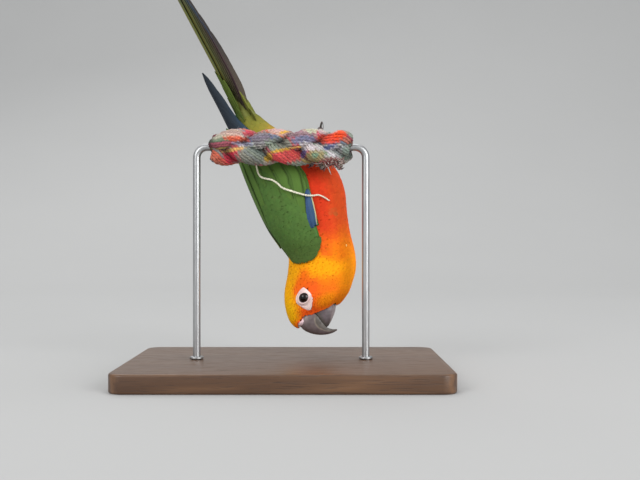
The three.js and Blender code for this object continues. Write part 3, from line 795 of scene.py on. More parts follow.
def cover(coat: Coat, ground: Ground, tract: Tract, barbs: int, rng: Random,
          side: Side = Side.LEFT, dome: float = 0.05) -> None:
    """Grows a tract's feathers on its ground, each bent to the surface it lies on.

    Args:
        coat: What the feathers are added to.
        ground: The surface.
        tract: The feathers.
        barbs: Clumps of barbs on each side of a feather.
        rng: The seeded source of what differs between feathers.
        side: The bird's side, for a ground of one side.
        dome: How far the middle of a feather stands over its edges, as a share of its half width.
    """
    template = Template.barbed(barbs)
    across, along = template.across, template.along
    count, corners = len(tract.a), len(along)
    tooth = (np.round(along * 2 * barbs) % 2 == 1) & (np.abs(across) > 0.9)
    reach = along + tooth * rng.uniform(0.01, 0.05, (count, corners)) * (along < 0.97)
    notch = 1 - ~(tooth | (np.abs(across) < 0.1)) * rng.uniform(0.03, 0.12, (count, corners))
    out = across * feather_half(along) * notch * tract.half[:, None]
    ahead = reach * tract.length[:, None]
    bow = rng.normal(0, 0.05, count)[:, None] * ahead * along
    c, s = np.cos(tract.turn)[:, None], np.sin(tract.turn)[:, None]
    ma, mb = ground.metric(tract.a, tract.b)
    a = tract.a[:, None] + (ahead * c - (out + bow) * s) / ma[:, None]
    b = tract.b[:, None] + (ahead * s + (out + bow) * c) / mb[:, None]
    lift = lerp(-tract.depth[:, None], tract.tip[:, None], along ** RISE)
    lift = lift + (1 - across ** 2) * dome * tract.half[:, None] * np.sin(np.pi * along * 0.8)
    sunk = TIP_SINKS * smooth(along, 0.8, 1) + np.where(template.side < 0, UNDER_SINKS, 0)
    lift = lift - sunk * np.minimum(tract.half, 2)[:, None]
    points = to_metres(side.of(ground.point(a, b, lift)))
    above = to_metres(side.of(ground.point(a, b, lift + 1)))
    calm = unit(above - points) * np.where(template.side > 0, CALM_OVER, CALM_UNDER)[:, None]
    patch = np.stack([across / 2, along - 0.5], -1) * BAKE_PATCH
    bake = ground.bake(tract.a, tract.b)[:, None] + patch
    # Painted shade: each feather is darker at its root, where the feathers over it cover it, and a little
    # lighter at the very tip.
    shade = lerp(0.92, 1.0, smooth(along, 0.1, 0.6)) + 0.03 * smooth(along, 0.85, 1)
    coat.add(points, template, bake, tract.tint[:, None] * shade[:, None], side is Side.RIGHT, calm)


# Markings

@dataclass(frozen=True)
class Patch:
    """A soft patch of colour on the body."""

    colour: str
    station: float
    degrees: float
    reach: float
    spread: float
    strength: float = 1.0


class Markings:
    """The body's colours, which skin and feathers share."""

    CROWN = (
        (0, "e2500e"), (0.9, "e8700c"), (1.7, "f6ae08"), (3.2, "fabc0a"), (4, "f6b006"), (5.4, "f0a406"),
        (7.2, "eca008"), (7.9, "6a7c2a"), (8.6, "46702c"), (13, "426a2a"), (16, "4a6e2a"),
    )
    FLANKS = (
        (0, "e4500e"), (2.2, "ee5818"), (3.9, "f2641a"), (5.1, "f27a10"), (6, "f8980a"), (6.7, "f99e08"),
        (7.2, "f0840e"), (7.6, "dc5a14"), (8.2, "cc3c18"), (9.4, "c63416"), (11, "c83216"),
        (13, "c4441e"), (13.7, "cc9030"), (14.3, "8a8030"), (16, "6c7030"),
    )
    THROAT = (
        (0, "e4560e"), (2.4, "ee7c0c"), (4.4, "f28a0a"), (5.8, "f6940c"), (6.8, "f68e10"),
        (7.5, "f07c12"), (8, "e26218"), (8.5, "d8521e"), (10.6, "d0481e"), (12.5, "cc4a20"),
        (13.4, "d89430"), (14.2, "c08a2c"), (15.0, "8a7e30"), (16, "6c7030"),
    )
    PATCHES = (
        Patch("f05a1c", 4.7, 70, 0.9, 24, 0.9), Patch("e0480a", 1.1, 42, 1.0, 40, 0.95),
        Patch("f6900c", 3.2, 112, 1.1, 24, 0.85), Patch("fca40a", 6.1, 96, 0.7, 40, 0.8),
        # The patch de4e1a at station 7.1 is partly the flank's red and partly painted shade under the wing's
        # lower edge.
        Patch("de4e1a", 7.1, 96, 0.5, 15, 0.8), Patch("e8700e", 6.9, 118, 0.7, 24, 0.75),
        Patch("ffd080", 7.3, 137, 0.09, 3, 0.8), Patch("9a6030", 8.95, 129, 0.25, 6, 0.5),
        Patch("e8620e", 5.4, 60, 0.75, 13, 0.85), Patch("e86014", 1.3, 150, 0.9, 40, 0.6),
    )

    def __init__(self) -> None:
        """Readies the three meridians as stations and colours."""
        self.meridians = [
            (np.array([s for s, _ in line]), np.array([linear(code) for _, code in line]))
            for line in (self.CROWN, self.FLANKS, self.THROAT)
        ]

    def at(self, station: Array, degrees: Array) -> Array:
        """The colour at a place of the body."""
        around = from_back(degrees)
        crown, flank, throat = (
            np.stack([np.interp(station, stops, colours[:, k]) for k in range(3)], -1)
            for stops, colours in self.meridians
        )
        colour = lerp(crown, flank, smooth(around, 30, 66)[..., None])
        colour = lerp(colour, throat, smooth(around, 108, 146)[..., None])
        for patch in self.PATCHES:
            far = np.hypot((station - patch.station) / patch.reach, (around - patch.degrees) / patch.spread)
            colour = wash(colour, patch.colour, smooth(far, 1.25, 0.35) * patch.strength)
        return colour


MARKINGS = Markings()


def varied(colour: Array, rng: Random, light: float = 0.035, hue: float = 0.018) -> Array:
    """Colours that differ a little from one feather to the next."""
    count = len(colour)
    return colour * rng.normal(1, light, (count, 1)).clip(0.75, 1.25) * rng.normal(1, hue, (count, 3))


# The bird

@dataclass
class Eye:
    """An eye, with its lids and the bare ring of skin round it."""

    side: Side
    station: float = 3.9
    degrees: float = 66.3
    radius: float = 4.6
    sunk: float = 3.1
    # How far the lids reach from the eye's middle, in millimetres.
    LIDS = 5.1
    # The bare ring's outline from the eye's middle as stations and degrees, from the top round by the belly.
    RING = (
        (0.96, -1.9), (0.52, 8.7), (0.08, 15.1), (-0.41, 18.6), (-0.97, 19.1), (-1.5, 15.7), (-1.36, 5.2),
        (-0.83, -5.2), (-0.32, -15.6), (0.07, -17.4), (0.47, -13.4), (0.82, -7.6),
    )
    # The ring in section: millimetres out as far as the lids, how far on towards the outline (1 at the lids,
    # 2 at the outline), and the height.
    SECTION = (
        (2.8, 0, -0.5), (3.15, 0, 0.25), (3.35, 0, 0.5), (3.7, 0, 0.72), (4.1, 0, 0.66), (4.45, 0, 0.34),
        (4.75, 0, 0.1), (5.1, 0, 0), (5.1, 1.25, -0.02), (5.1, 1.5, 0.02), (5.1, 1.75, -0.08),
        (5.1, 1.92, -0.3), (5.1, 2, -0.9), (5.1, 1.7, -1.5), (2.8, 0, -1.6),
    )

    def outline(self, u: Array) -> tuple[Array, Array]:
        """Stations and degrees of the bare ring's outline from the eye's middle, at a share u round it."""
        ring = np.array(self.RING)
        around = Curve(np.vstack([ring[-1], ring, ring[:2]]))
        place = around.at(1 + (u % 1) * len(ring))
        return place[..., 0], place[..., 1]

    def inside_ring(self, station: Array, degrees: Array, grown: float = 1.0) -> Array:
        """Whether places of the body lie in the bare ring."""
        return within(np.array(self.RING) * grown, station - self.station, from_back(degrees) - self.degrees)

    def middle(self) -> tuple[Array, Array]:
        """The eyeball's middle and the way it looks, in the bird's frame."""
        s, d = np.array(self.station), np.array(self.degrees)
        centre = self.side.of(TRUNK.place(s, d, -self.sunk))
        return centre, unit(self.side.of(TRUNK.place(s, d, 1.0)) - self.side.of(TRUNK.place(s, d, 0.0)))

    def ball(self, clay: Clay) -> None:
        """The eyeball, with a dark iris, a black pupil and the bulge of the cornea."""
        centre, axis = self.middle()
        a = unit(np.cross(axis, [0, 0, 1]))
        b = np.cross(axis, a)

        def shape(u: Array, v: Array) -> Array:
            off, turn = (v * math.pi)[:, None], (2 * math.pi * u)[:, None]
            bulge = self.radius + 0.25 * np.exp(-(off / 0.5) ** 2)
            way = np.cos(off) * axis + np.sin(off) * (np.cos(turn) * a + np.sin(turn) * b)
            return to_metres(centre + way * bulge)

        def tint(_: Array, v: Array) -> Array:
            off = np.degrees(v * math.pi)
            colour = wash(linear("030202"), "24120e", smooth(off, 20, 24))
            colour = wash(colour, "100806", smooth(off, 31, 37))
            return wash(colour, "3a3432", smooth(off, 46, 52))

        clay.grow(40, 60, shape, tint)

    def ring(self, clay: Clay) -> None:
        """The lids and the bare skin round them."""
        section = np.array(self.SECTION)
        ms, md = TrunkGround().metric(np.array([self.station]), np.array([self.degrees]))

        def profile(v: Array) -> Array:
            place = v * len(section)
            low = place.astype(int) % len(section)
            t = smooth(place % 1, -0.4, 1.4)[:, None]
            return lerp(section[low], section[(low + 1) % len(section)], t).T

        def shape(u: Array, v: Array) -> Array:
            ds, dd = self.outline(u)
            whole = np.hypot(ds * ms, dd * md)
            out, share, lift = profile(v)
            radius = np.where(share < 1, lerp(out, self.LIDS, share), lerp(self.LIDS, whole, share - 1))
            beads = 0.07 * np.cos(2 * math.pi * u * 34) * np.exp(-((radius - 3.9) / 0.6) ** 2)
            folds = 0.05 * np.sin(radius * 5.2 + 1.4 * np.sin(6 * math.pi * u)) * smooth(radius, 4.6, 5.4)
            lift = lift + np.where(lift > -0.4, beads + folds, 0)
            k = radius / whole
            return to_metres(self.side.of(TRUNK.place(self.station + ds * k, self.degrees + dd * k, lift)))

        def tint(u: Array, v: Array) -> Array:
            out, share, _ = profile(v)
            colour = wash(linear("e0c2bf"), "ead2cd", smooth(np.sin(2 * math.pi * u * 3), -1, 1))
            return wash(colour, "5a4a4c", smooth(out, 3.5, 3.05) * (share <= 0))

        clay.grow(136, len(section) * 3, shape, tint)


@dataclass
class Bill:
    """Both halves of the bill and the bare cere over its root."""

    # Ridge and cutting edge of each section as x, z, and half the width.
    UPPER = (
        (7.4, -122.6, 15.6, -113.6, 6.2), (9, -127.4, 18.2, -117.8, 7.1), (12.2, -130.4, 20.5, -120.2, 7.2),
        (16.9, -132.3, 22.6, -122.8, 6.6), (21.8, -133.1, 24.7, -125.4, 5.7), (26.7, -132.9, 27.1, -128, 4.3),
        (31.2, -131.7, 30.8, -129.2, 2.5), (34.4, -129.9, 34, -129.1, 0.8),
    )
    LOWER = (
        (32.4, -108.8, 17, -115, 5.4), (33.4, -112.6, 18.4, -117.7, 6.2), (32.9, -116.6, 20.5, -120.4, 6.2),
        (31.6, -120.4, 22.8, -123.5, 5.6), (30, -123.8, 25, -126.3, 4.4), (28.4, -126.8, 26.4, -128.2, 2.4),
    )
    # Half a section: the share of the way from the ridge to the edge, and the share of the half width there.
    UPPER_SECTION = (
        (0, 0), (0.03, 0.34), (0.16, 0.68), (0.42, 0.93), (0.72, 1), (1, 0.94), (0.84, 0.5), (0.8, 0),
    )
    LOWER_SECTION = ((0, 0), (0.05, 0.45), (0.25, 0.82), (0.6, 1), (1, 0.95), (0.84, 0.45), (0.8, 0))
    # The cere's middle and half sizes, how far its bare space reaches, and its nostrils.
    CERE = np.array([9.6, 0, -123.6])
    CERE_SIZE = np.array([4.2, 6.2, 4.0])
    CERE_SPACE = np.array([4.6, 6.8, 4.4])
    NOSTRILS = np.array([[9, -5.5, -123.3], [9, 5.5, -123.3]])

    def half_bill(self, clay: Clay, profile: Sequence[Sequence[float]], half: Sequence[Sequence[float]],
                  tint: Callable[[Array, Array, Array], Array]) -> None:
        """One half of the bill, closed at both ends.

        Args:
            clay: What it is added to.
            profile: Its sections from the root to the tip.
            half: Half a section.
            tint: Its colours at the share t from ridge to edge, the share v along it, and how far that is
                outside.
        """
        line = Curve(profile)
        whole = Curve(np.vstack([np.array(half) * [1, -1], (np.array(half) * [1, 1])[::-1][1:]]))
        edge = [t for t, _ in half].index(1) / whole.spans

        def shape(u: Array, v: Array) -> Array:
            section = line.at(np.clip(v * 1.04 - 0.02, 0, 1) * (len(profile) - 1))
            t, out = whole.at(u * whole.spans).T
            shut = closing(v, 0.02)
            x, z = (lerp(section[:, k], section[:, k + 2], lerp(0.4, t, shut)) for k in (0, 1))
            return to_metres(np.stack([x, out * section[:, 4] * shut, z], -1))

        def colours(u: Array, v: Array) -> Array:
            outside = smooth(np.minimum(u, 1 - u), edge + 0.02, edge)
            return tint(whole.at(u * whole.spans)[:, 0], v, outside)

        clay.grow(112, 90, shape, colours)

    @staticmethod
    def upper_tint(t: Array, v: Array, outside: Array) -> Array:
        """Grey horn, paler at the root and along a worn line down the side, dark inside."""
        worn = np.interp(v, [0.22, 0.3, 0.38, 0.5, 0.9], [1.05, 0.78, 0.62, 0.5, 0.46])
        line = np.exp(-((t - worn) / 0.045) ** 2) * smooth(v, 0.2, 0.3) * smooth(v, 1.0, 0.9)
        colour = wash(linear("746a6f"), "625e5a", smooth(t - worn, -0.05, 0.08))
        colour = wash(colour, "a89a9f", smooth(v, 0.26, 0.06) * 0.8)
        colour = wash(colour, "857c7e", smooth(t, 0.2, 0.0) * 0.5)
        colour = wash(colour, "a59c90", line * 0.75)
        colour = wash(colour, "3a3434", smooth(t, 0.93, 1.0) * 0.8)
        colour = colour * (1 + 0.05 * np.sin(v * 58 + 2 * t))[:, None]
        return lerp(linear("2c2424"), colour, outside[:, None])

    @staticmethod
    def lower_tint(t: Array, v: Array, outside: Array) -> Array:
        """Grey horn with a pale fringe along the ridge, dark inside."""
        colour = wash(linear("aea4ac"), "6a5f69", smooth(t, 0.06, 0.36))
        colour = wash(colour, "54514c", smooth(t, 0.62, 0.95))
        colour = wash(colour, "5c5a55", smooth(v, 0.5, 0.9) * 0.6)
        colour = wash(colour, "322c2c", smooth(t, 0.94, 1.0) * 0.8)
        colour = colour * (1 + 0.05 * np.sin(v * 44 + 2 * t))[:, None]
        return lerp(linear("2c2424"), colour, outside[:, None])

    @staticmethod
    def ahead(points: Array) -> Array:
        """How far points of the bird's frame lie on the forehead's side of where its feathers end."""
        return (points[..., 0] - 8.4) * -0.74 + (points[..., 2] + 126.2) * 0.68

    def cere(self, clay: Clay) -> None:
        """The bare swelling over the root of the bill, with its two nostrils at the forehead's feathers."""
        def form(u: Array, v: Array) -> Array:
            turn, off = 2 * math.pi * u, math.pi * v
            way = np.stack([np.sin(off) * np.cos(turn), np.cos(off), np.sin(off) * np.sin(turn)], -1)
            folds = 1 + 0.02 * np.sin(9 * turn) * np.sin(off)
            return self.CERE + way * self.CERE_SIZE * folds[:, None]

        def deep(points: Array) -> Array:
            far = np.linalg.norm(points[:, None] - self.NOSTRILS, axis=-1)
            return np.exp(-far ** 4).max(1)

        def shape(u: Array, v: Array) -> Array:
            points = form(u, v)
            return to_metres(lerp(points, self.CERE, deep(points)[:, None] * 0.34))

        def tint(u: Array, v: Array) -> Array:
            points = form(u, v)
            colour = wash(linear("dcc2c8"), "e2520c", smooth(self.ahead(points), 0.6, 1.4))
            # The nostrils are small dents painted near black: painted shade in their openings.
            return wash(colour, "2c1c1e", deep(points))

        clay.grow(72, 64, shape, tint)

    def holds(self, points: Array) -> Array:
        """Whether points of the bird's frame lie in the bill or the cere."""
        inside = np.zeros(len(points), bool)
        for profile in (self.UPPER, self.LOWER):
            p = np.array(profile)
            ring = np.vstack([p[:, :2], p[::-1, 2:4]])
            beside = np.abs(points[:, 1]) < p[:, 4].max() + 0.4
            inside |= within(ring, points[:, 0], points[:, 2]) & beside
        far = (points - self.CERE) / self.CERE_SPACE
        return (inside | (np.linalg.norm(far, axis=-1) < 1)) & (self.ahead(points) < 1.1)


def skin_tint(points: Array) -> Array:
    """The body's colour for points in metres, by the nearest place on a coarse net of the trunk."""
    s, d = np.meshgrid(np.linspace(0.1, 16, 60), np.linspace(-180, 174, 60), indexing="ij")
    net = to_metres(TRUNK.place(s.ravel(), d.ravel()))
    tree = KDTree(len(net))
    for i, p in enumerate(net):
        tree.insert(p, i)
    tree.balance()
    nearest = np.array([tree.find(p)[1] for p in points])
    return MARKINGS.at(s.ravel()[nearest], d.ravel()[nearest])


@dataclass
class Leg:
    """A thigh and the foot under it that grips the perch."""

    side: Side
    x: float
    ankle: tuple[float, float, float]
    hip: tuple[float, float, float]
    # The thigh's radius at even steps from hip to ankle.
    RADII = (4, 9, 8.6, 7.2, 5.2, 3.6)

    def axis(self, t: Array) -> Array:
        """The middle of the thigh, from hip to ankle."""
        return lerp(np.array(self.hip, float), to_bird(self.ankle), np.asarray(t)[..., None])

    def around(self, t: Array, degrees: Array, lift: Array) -> Array:
        """A point round the thigh, at a height over it."""
        way = unit(self.axis(np.array(1.0)) - self.axis(np.array(0.0)))
        a = unit(np.cross(way, [0, 0, 1.0]))
        b = np.cross(way, a)
        turn = np.radians(degrees)[..., None]
        radius = np.interp(t, np.linspace(0, 1, len(self.RADII)), self.RADII) + lift
        return self.axis(t) + (np.cos(turn) * a + np.sin(turn) * b) * radius[..., None]


class ThighGround(Ground):
    """The outside of a thigh: the share of the way from hip to ankle, and degrees round it."""

    spans = (1, 360)

    def __init__(self, leg: Leg) -> None:
        """Keeps the leg."""
        self.leg = leg

    def point(self, a: Array, b: Array, lift: Array) -> Array:
        """A point in the bird's frame."""
        return self.leg.around(a, b, lift)


LEGS = (
    Leg(Side.LEFT, 20, (22.5, 21, 151.5), (9, -11, -30)),
    Leg(Side.RIGHT, 31.5, (31.5, 26, 152.5), (14, 10, -26)),
)


@dataclass
class Body:
    """Head, neck, torso and thighs: one skin and the small feathers on it."""

    coat_depth: float = 0.8
    face_depth: float = 0.45
    voxel: float = 0.0009
    # Station, feather length, half its width, and the spacing of rows and of feathers in a row.
    SIZES = (
        (0, 2.0, 0.7, 0.6, 0.85), (1, 2.4, 0.8, 0.68, 0.95), (2.5, 3.2, 1.0, 0.8, 1.1),
        (4, 4.2, 1.3, 1.0, 1.35), (5.5, 5.6, 1.7, 1.3, 1.75), (7, 7.4, 2.2, 1.7, 2.2),
        (8.5, 9, 2.7, 2.1, 2.7), (11, 10.5, 3.1, 2.4, 3.1), (16, 11, 3.2, 2.6, 3.2),
    )
    # Where the face's feathers start: degrees round from the forehead to the throat, and the station.
    FACE_EDGE = ((0, 0.5), (22, 0.9), (40, 1.6), (60, 1.72), (90, 1.75), (120, 1.7), (150, 1.6), (180, 1.5))
    # The coat's pieces: name, first and last station, clumps of barbs on each side, material slot.
    PIECES = (
        ("face_feathers", 0, 3.2, 3, "face_plumage"), ("crown_feathers", 3.2, 6.2, 4, "face_plumage"),
        ("breast_feathers", 6.2, 9.4, 5, "breast_plumage"),
        ("belly_feathers", 9.4, 16.1, 6, "breast_plumage"),
    )
    eyes: tuple[Eye, Eye] = field(default_factory=lambda: (Eye(Side.LEFT), Eye(Side.RIGHT)))
    bill: Bill = field(default_factory=Bill)

    def depth(self, station: Array) -> Array:
        """How far the skin lies inside the coat."""
        return lerp(self.face_depth, self.coat_depth, smooth(station, 3, 8))

    def skin(self) -> Piece:
        """One closed skin over trunk, thighs and the root of the tail."""
        clay, plain = Clay(), np.ones(3)

        def trunk(u: Array, v: Array) -> Array:
            depth = self.depth(v * 16) * ((v > 0) & (v < 1))
            return to_metres(TRUNK.place(0.02 + v * 15.98, u * 360, -depth))

        def slender(_: Array, v: Array) -> Array:
            return (np.interp(v, np.linspace(0, 1, len(Leg.RADII)), Leg.RADII) - 1.2) * rounded(v, 0.1)

        clay.grow(90, 130, trunk, plain)
        for leg in LEGS:
            thigh = tube(leg.axis(np.linspace(-0.1, 1.0, 24)), slender, 1.0)
            clay.grow(28, 24, lambda u, v, shape=thigh: to_metres(shape(u, v)), plain)
        clay.grow(28, 12, TAIL.core(-1.0), plain)
        piece = clay.piece("bird_skin")
        remesh = piece.modifiers.new("one_skin", "REMESH")
        remesh.mode, remesh.voxel_size, remesh.use_smooth_shade = "VOXEL", self.voxel, True
        made = bpy.data.meshes.new_from_object(piece.evaluated_get(bpy.context.evaluated_depsgraph_get()))
        piece.modifiers.clear()
        piece.data = made
        paint(made, skin_tint(np.array([v.co[:] for v in made.vertices])))
        return piece

    def tract(self, rng: Random) -> Tract:
        """All body feathers, in staggered rows from the face to the tail."""
        ground = TrunkGround()
        sizes = np.array(self.SIZES)
        stations, degrees = [], []
        station, row = 0.35, 0
        ring = np.linspace(-180, 180, 361)
        while station < 15.9:
            size = [np.interp(station, sizes[:, 0], sizes[:, k]) for k in range(1, 5)]
            ma, mb = ground.metric(np.full(361, station), ring)
            arc = np.concatenate([[0], np.cumsum((mb[1:] + mb[:-1]) / 2)])
            count = max(6, int(arc[-1] / size[3]))
            steps = (np.arange(count) + 0.5 * (row % 2)) / count * arc[-1]
            degrees.append(np.interp(steps, arc, ring))
            stations.append(np.full(count, station))
            station += size[2] / ma.mean()
            row += 1
        a, b = np.concatenate(stations), np.concatenate(degrees)
        count = len(a)
        length, half, along, across = (np.interp(a, sizes[:, 0], sizes[:, k]) for k in range(1, 5))
        ma, mb = ground.metric(a, b)
        a = a + rng.uniform(-0.3, 0.3, count) * along / ma
        b = b + rng.uniform(-0.22, 0.22, count) * across / mb
        x, y = (a - self.eyes[0].station + 0.25) * ma, (np.abs(b) - self.eyes[0].degrees - 1) * mb
        far = np.maximum(np.hypot(x, y), 5.5)
        angle = np.arctan2(y, x)
        turn = np.arctan2(-(6.6 / far) ** 2 * np.sin(2 * angle), 1 - (6.6 / far) ** 2 * np.cos(2 * angle))
        turn = -turn * np.sign(b) * smooth(far, 22, 9) + rng.normal(0, 0.1, count)
        depth = self.depth(a) * 0.9
        tip_station = a + length * 0.8 / ma
        tract = Tract(
            a, b, length * rng.normal(1, 0.09, count), half * rng.normal(1, 0.08, count), depth,
            rng.uniform(0.02, 0.14, count) * np.minimum(1, half / 2.2), turn,
            varied(MARKINGS.at(tip_station, b), rng),
        )
        return tract.pick(self.bare_of(ground, tract))

    def bare_of(self, ground: Ground, tract: Tract) -> Array:
        """Which feathers lie clear of bill, cere, eyes and wings. Shortens those that end at an eye."""
        ma, mb = ground.metric(tract.a, tract.b)
        edge = np.interp(from_back(tract.b), *np.array(self.FACE_EDGE).T)
        keep = (tract.a > edge) & ~self.bill.holds(ground.point(tract.a, tract.b, np.zeros_like(tract.a)))
        shares = np.array([0, 0.15, 0.3, 0.45, 0.6, 0.75, 0.9, 1.0])
        over = np.stack([self.eyes[0].inside_ring(
            tract.a + share * tract.length * np.cos(tract.turn) / ma,
            tract.b + share * tract.length * np.sin(tract.turn) / mb, 0.97) for share in shares])
        reach = np.where(over.any(0) & ~over[0], shares[over.argmax(0)] - 0.1, 1.0)
        tract.length *= reach
        tract.half *= np.sqrt(np.maximum(reach, 0.1))
        keep &= (reach > 0.25) & ~(over[0] & over[3])
        wing_station = tract.a - WING_FROM
        lead = np.interp(wing_station, range(13), WING_LEAD)
        trail = np.interp(wing_station, range(13), WING_TRAIL)
        share = (np.abs(tract.b) - trail) / (lead - trail)
        return keep & ~((wing_station > 1.6) & (share > 0.16) & (share < 0.84))

    def build(self) -> None:
        """Builds skin, coat, eyes and bill."""
        rng = np.random.default_rng(11)
        feathers = FeatherFinish("body_plumage").material()
        dress(self.skin(), SkinFinish("feathered_skin").material(),
              ("head", "neck", "torso", "leg_left", "leg_right"))
        tract = self.tract(rng)
        ground = TrunkGround()
        for name, low, high, barbs, slot in self.PIECES:
            coat = Coat()
            cover(coat, ground, tract.pick((tract.a >= low) & (tract.a < high)), barbs, rng)
            dress(coat.piece(name), feathers)
        coat = Coat()
        for leg in LEGS:
            cover(coat, ThighGround(leg), self.thigh_tract(rng), 5, rng)
        dress(coat.piece("thigh_feathers"), feathers)
        skin = SkinFinish("bare_skin", relief=0.08).material()
        eye = EyeFinish().material()
        for one in self.eyes:
            clay = Clay()
            one.ball(clay)
            dress(clay.piece(f"eyeball_{one.side.word}"), eye, (f"eye_{one.side.word}",))
            clay = Clay()
            one.ring(clay)
            dress(clay.piece(f"eye_ring_{one.side.word}"), skin)
        horn = HornFinish("bill_horn", "eae4dc", "beb6ae").material()
        for name, *form in (
            ("upper", self.bill.UPPER, self.bill.UPPER_SECTION, self.bill.upper_tint),
            ("lower", self.bill.LOWER, self.bill.LOWER_SECTION, self.bill.lower_tint),
        ):
            clay = Clay()
            self.bill.half_bill(clay, *form)
            dress(clay.piece(f"{name}_mandible"), horn, (f"bill_{name}",))
        clay = Clay()
        self.bill.cere(clay)
        dress(clay.piece("cere"), skin)

    def thigh_tract(self, rng: Random) -> Tract:
        """Feathers down a thigh."""
        a, b = np.meshgrid(np.arange(0.2, 0.94, 0.075), np.arange(0, 360, 24.0), indexing="ij")
        b = b + 12 * (np.arange(a.shape[0]) % 2)[:, None] + rng.uniform(-5, 5, a.shape)
        a, b = a.ravel(), b.ravel()
        count = len(a)
        size = lerp(1.0, 0.55, a)
        return Tract(
            a, b, 9 * size, 2.7 * size, np.full(count, 1.0), np.full(count, 0.2), rng.normal(0, 0.1, count),
            varied(wash(linear("cc3c1c"), "8a7a2a", smooth(a, 0.4, 1.0) * 0.5), rng),
        )


@dataclass(frozen=True)
class TailCoverts:
    """The coverts on one face of the tail's root, in ranks, each shorter and rooted further forward."""

    face: int
    root: float
    reach: float
    shorter: float
    narrower: float
    half: float
    height: float
    drop: float
    over: str
    under: str


@dataclass
class Tail:
    """The tail: twelve long feathers in a low roof, with coverts over and under their roots."""

    lean: float = math.radians(28)
    twist: float = math.radians(10)
    roof: float = math.radians(24)
    half: float = 5.4
    spread: float = 1.3
    step: float = 0.8
    lift: float = 1.6
    lengths: tuple[float, ...] = (136, 129, 119, 107, 93, 77)
    COVERTS = (
        TailCoverts(1, -2, 44, 11, 1.5, 4.6, 3.3, -0.6, "586a2c", "4a522a"),
        TailCoverts(-1, -4, 30, 8, 1.1, 4.4, 4.6, 0.4, "66682e", "707432"),
    )

    def __post_init__(self) -> None:
        """Works out the tail's own axes."""
        end = np.array(16.0)
        self.root = (TRUNK.place(end, np.array(0.0)) + TRUNK.place(end, np.array(180.0))) / 2
        self.along = np.array([-math.sin(self.lean), 0, math.cos(self.lean)])
        up = np.array([-math.cos(self.lean), 0, -math.sin(self.lean)])
        c, s = math.cos(-self.twist), math.sin(-self.twist)
        self.up = up * c + np.cross(self.along, up) * s
        self.across = unit(np.cross(self.up, self.along))

    def point(self, along: Array, out: Array, up: Array) -> Array:
        """A place in the tail: along it, out from its ridge (the bird's right is positive) and up."""
        wide, fall = out * math.cos(self.roof), (np.sqrt(out * out + 9) - 3) * math.sin(self.roof)
        level = self.root + along[..., None] * self.along + wide[..., None] * self.across
        return level + (up - fall)[..., None] * self.up

    def core(self, lift: float) -> Field:
        """The shape of the fleshy root of the tail, shrunk by a lift."""
        def shape(u: Array, v: Array) -> Array:
            t = np.clip(v * 1.1 - 0.05, 0, 1)
            along, turn = 24 * t, 2 * math.pi * u
            start = TRUNK.place(np.full(u.shape, 15.6), np.degrees(turn), lift) + along[:, None] * self.along
            wide, high = lerp(8.6, 7, t) + lift, lerp(5, 2.4, t) + lift * 0.5
            end = self.point(along, -np.sin(turn) * wide, self.lift - 1 + np.cos(turn) * high)
            ring = lerp(start, end, smooth(t, 0, 0.6)[:, None])
            middle = self.point(along, np.zeros_like(t), np.full(t.shape, self.lift - 1))
            return to_metres(lerp(middle, ring, closing(v, 0.05)[:, None]))
        return shape

    def feather(self, start: float, end: float, out: float, half: float, up: float,
                drop: float = 0.0) -> Callable:
        """The middle surface of one tail feather, as a function of t along it and millimetres x across it."""
        def middle(t: Array, x: Array) -> tuple[Array, Array]:
            spread = out * lerp(0.55, 1, smooth(t, 0, 0.4)) + x * half
            along = lerp(start, end, t)
            point = self.point(along, spread, up + drop * t)
            slope = math.sin(self.roof) * spread / np.sqrt(spread ** 2 + 9)
            return point, unit(self.up + (slope / math.cos(self.roof))[..., None] * self.across)
        return middle

    def build(self) -> None:
        """Builds the long feathers and the coverts."""
        rng = np.random.default_rng(23)
        coat = Vanes(12, 2)
        for side in (-1, 1):
            for pair, end in enumerate(self.lengths):
                level = (2 if side < 0 else 1) if pair == 0 else 1 - pair
                out = side * (2 if pair == 0 else self.half + 0.3 + self.spread * (pair - 1))
                middle = self.feather(4, end, out, self.half, self.lift + level * self.step)
                coat.add(middle, Outline(root=0.5, tip=0.62, thick=0.34, shaft=0.34),
                         lambda t, x, dusk=0.24 * pair: self.tint(t, x, dusk), rng)
        vanes = FeatherFinish("tail_plumage", 70, 5, 0.06, 0.35, 0.6, 0.22).material()
        dress(coat.piece("tail_feathers"), vanes, ("tail",))
        coat = Vanes(10, 4)
        for rank in range(3):
            last = 4 - rank % 2
            for k in range(last + 1):
                out = (k - last / 2) * 4.2 + 0.4
                for row in self.COVERTS:
                    reach = row.reach - row.shorter * rank - row.narrower * abs(out)
                    up = self.lift + row.face * (row.height + 0.5 * rank - 0.12 * abs(out))
                    middle = self.feather(row.root - 3 * rank, reach, out, row.half, up, row.drop)
                    colours = linear(row.over), linear(row.under)
                    coat.add(middle, Outline(root=0.5, tip=0.66), lambda *_, both=colours: both, rng)
        coverts = FeatherFinish("covert_plumage", 26, 4, 0.06, 0.12).material()
        dress(coat.piece("tail_coverts"), coverts)

    @staticmethod
    def tint(t: Array, x: Array, dusk: float) -> tuple[Array, Array]:
        """Olive green over, duskier in the outer feathers and blue towards the tip, and dusky brown under."""
        olive = wash(linear("74702c"), "565f2c", smooth(np.abs(x), 0.2, 0.8))
        over = wash(wash(olive, "4c4038", dusk), "34506a", smooth(t, 0.66, 0.98))
        return over, wash(linear("4c4238"), "2f2b2a", smooth(t, 0.3, 1))


@dataclass(frozen=True)
class Outline:
    """How a long feather is cut."""

    root: float = 0.55
    tip: float = 0.8
    thick: float = 0.3
    shaft: float = 0.22
    splits: int = 4

    def width(self, t: Array) -> Array:
        """The share of the half width along the feather."""
        over = np.clip((t - self.tip) / (1 - self.tip), 0, 1)
        return lerp(self.root, 1, smooth(t, 0, 0.35)) * np.sqrt(np.maximum(0.015, 1 - over ** 2))


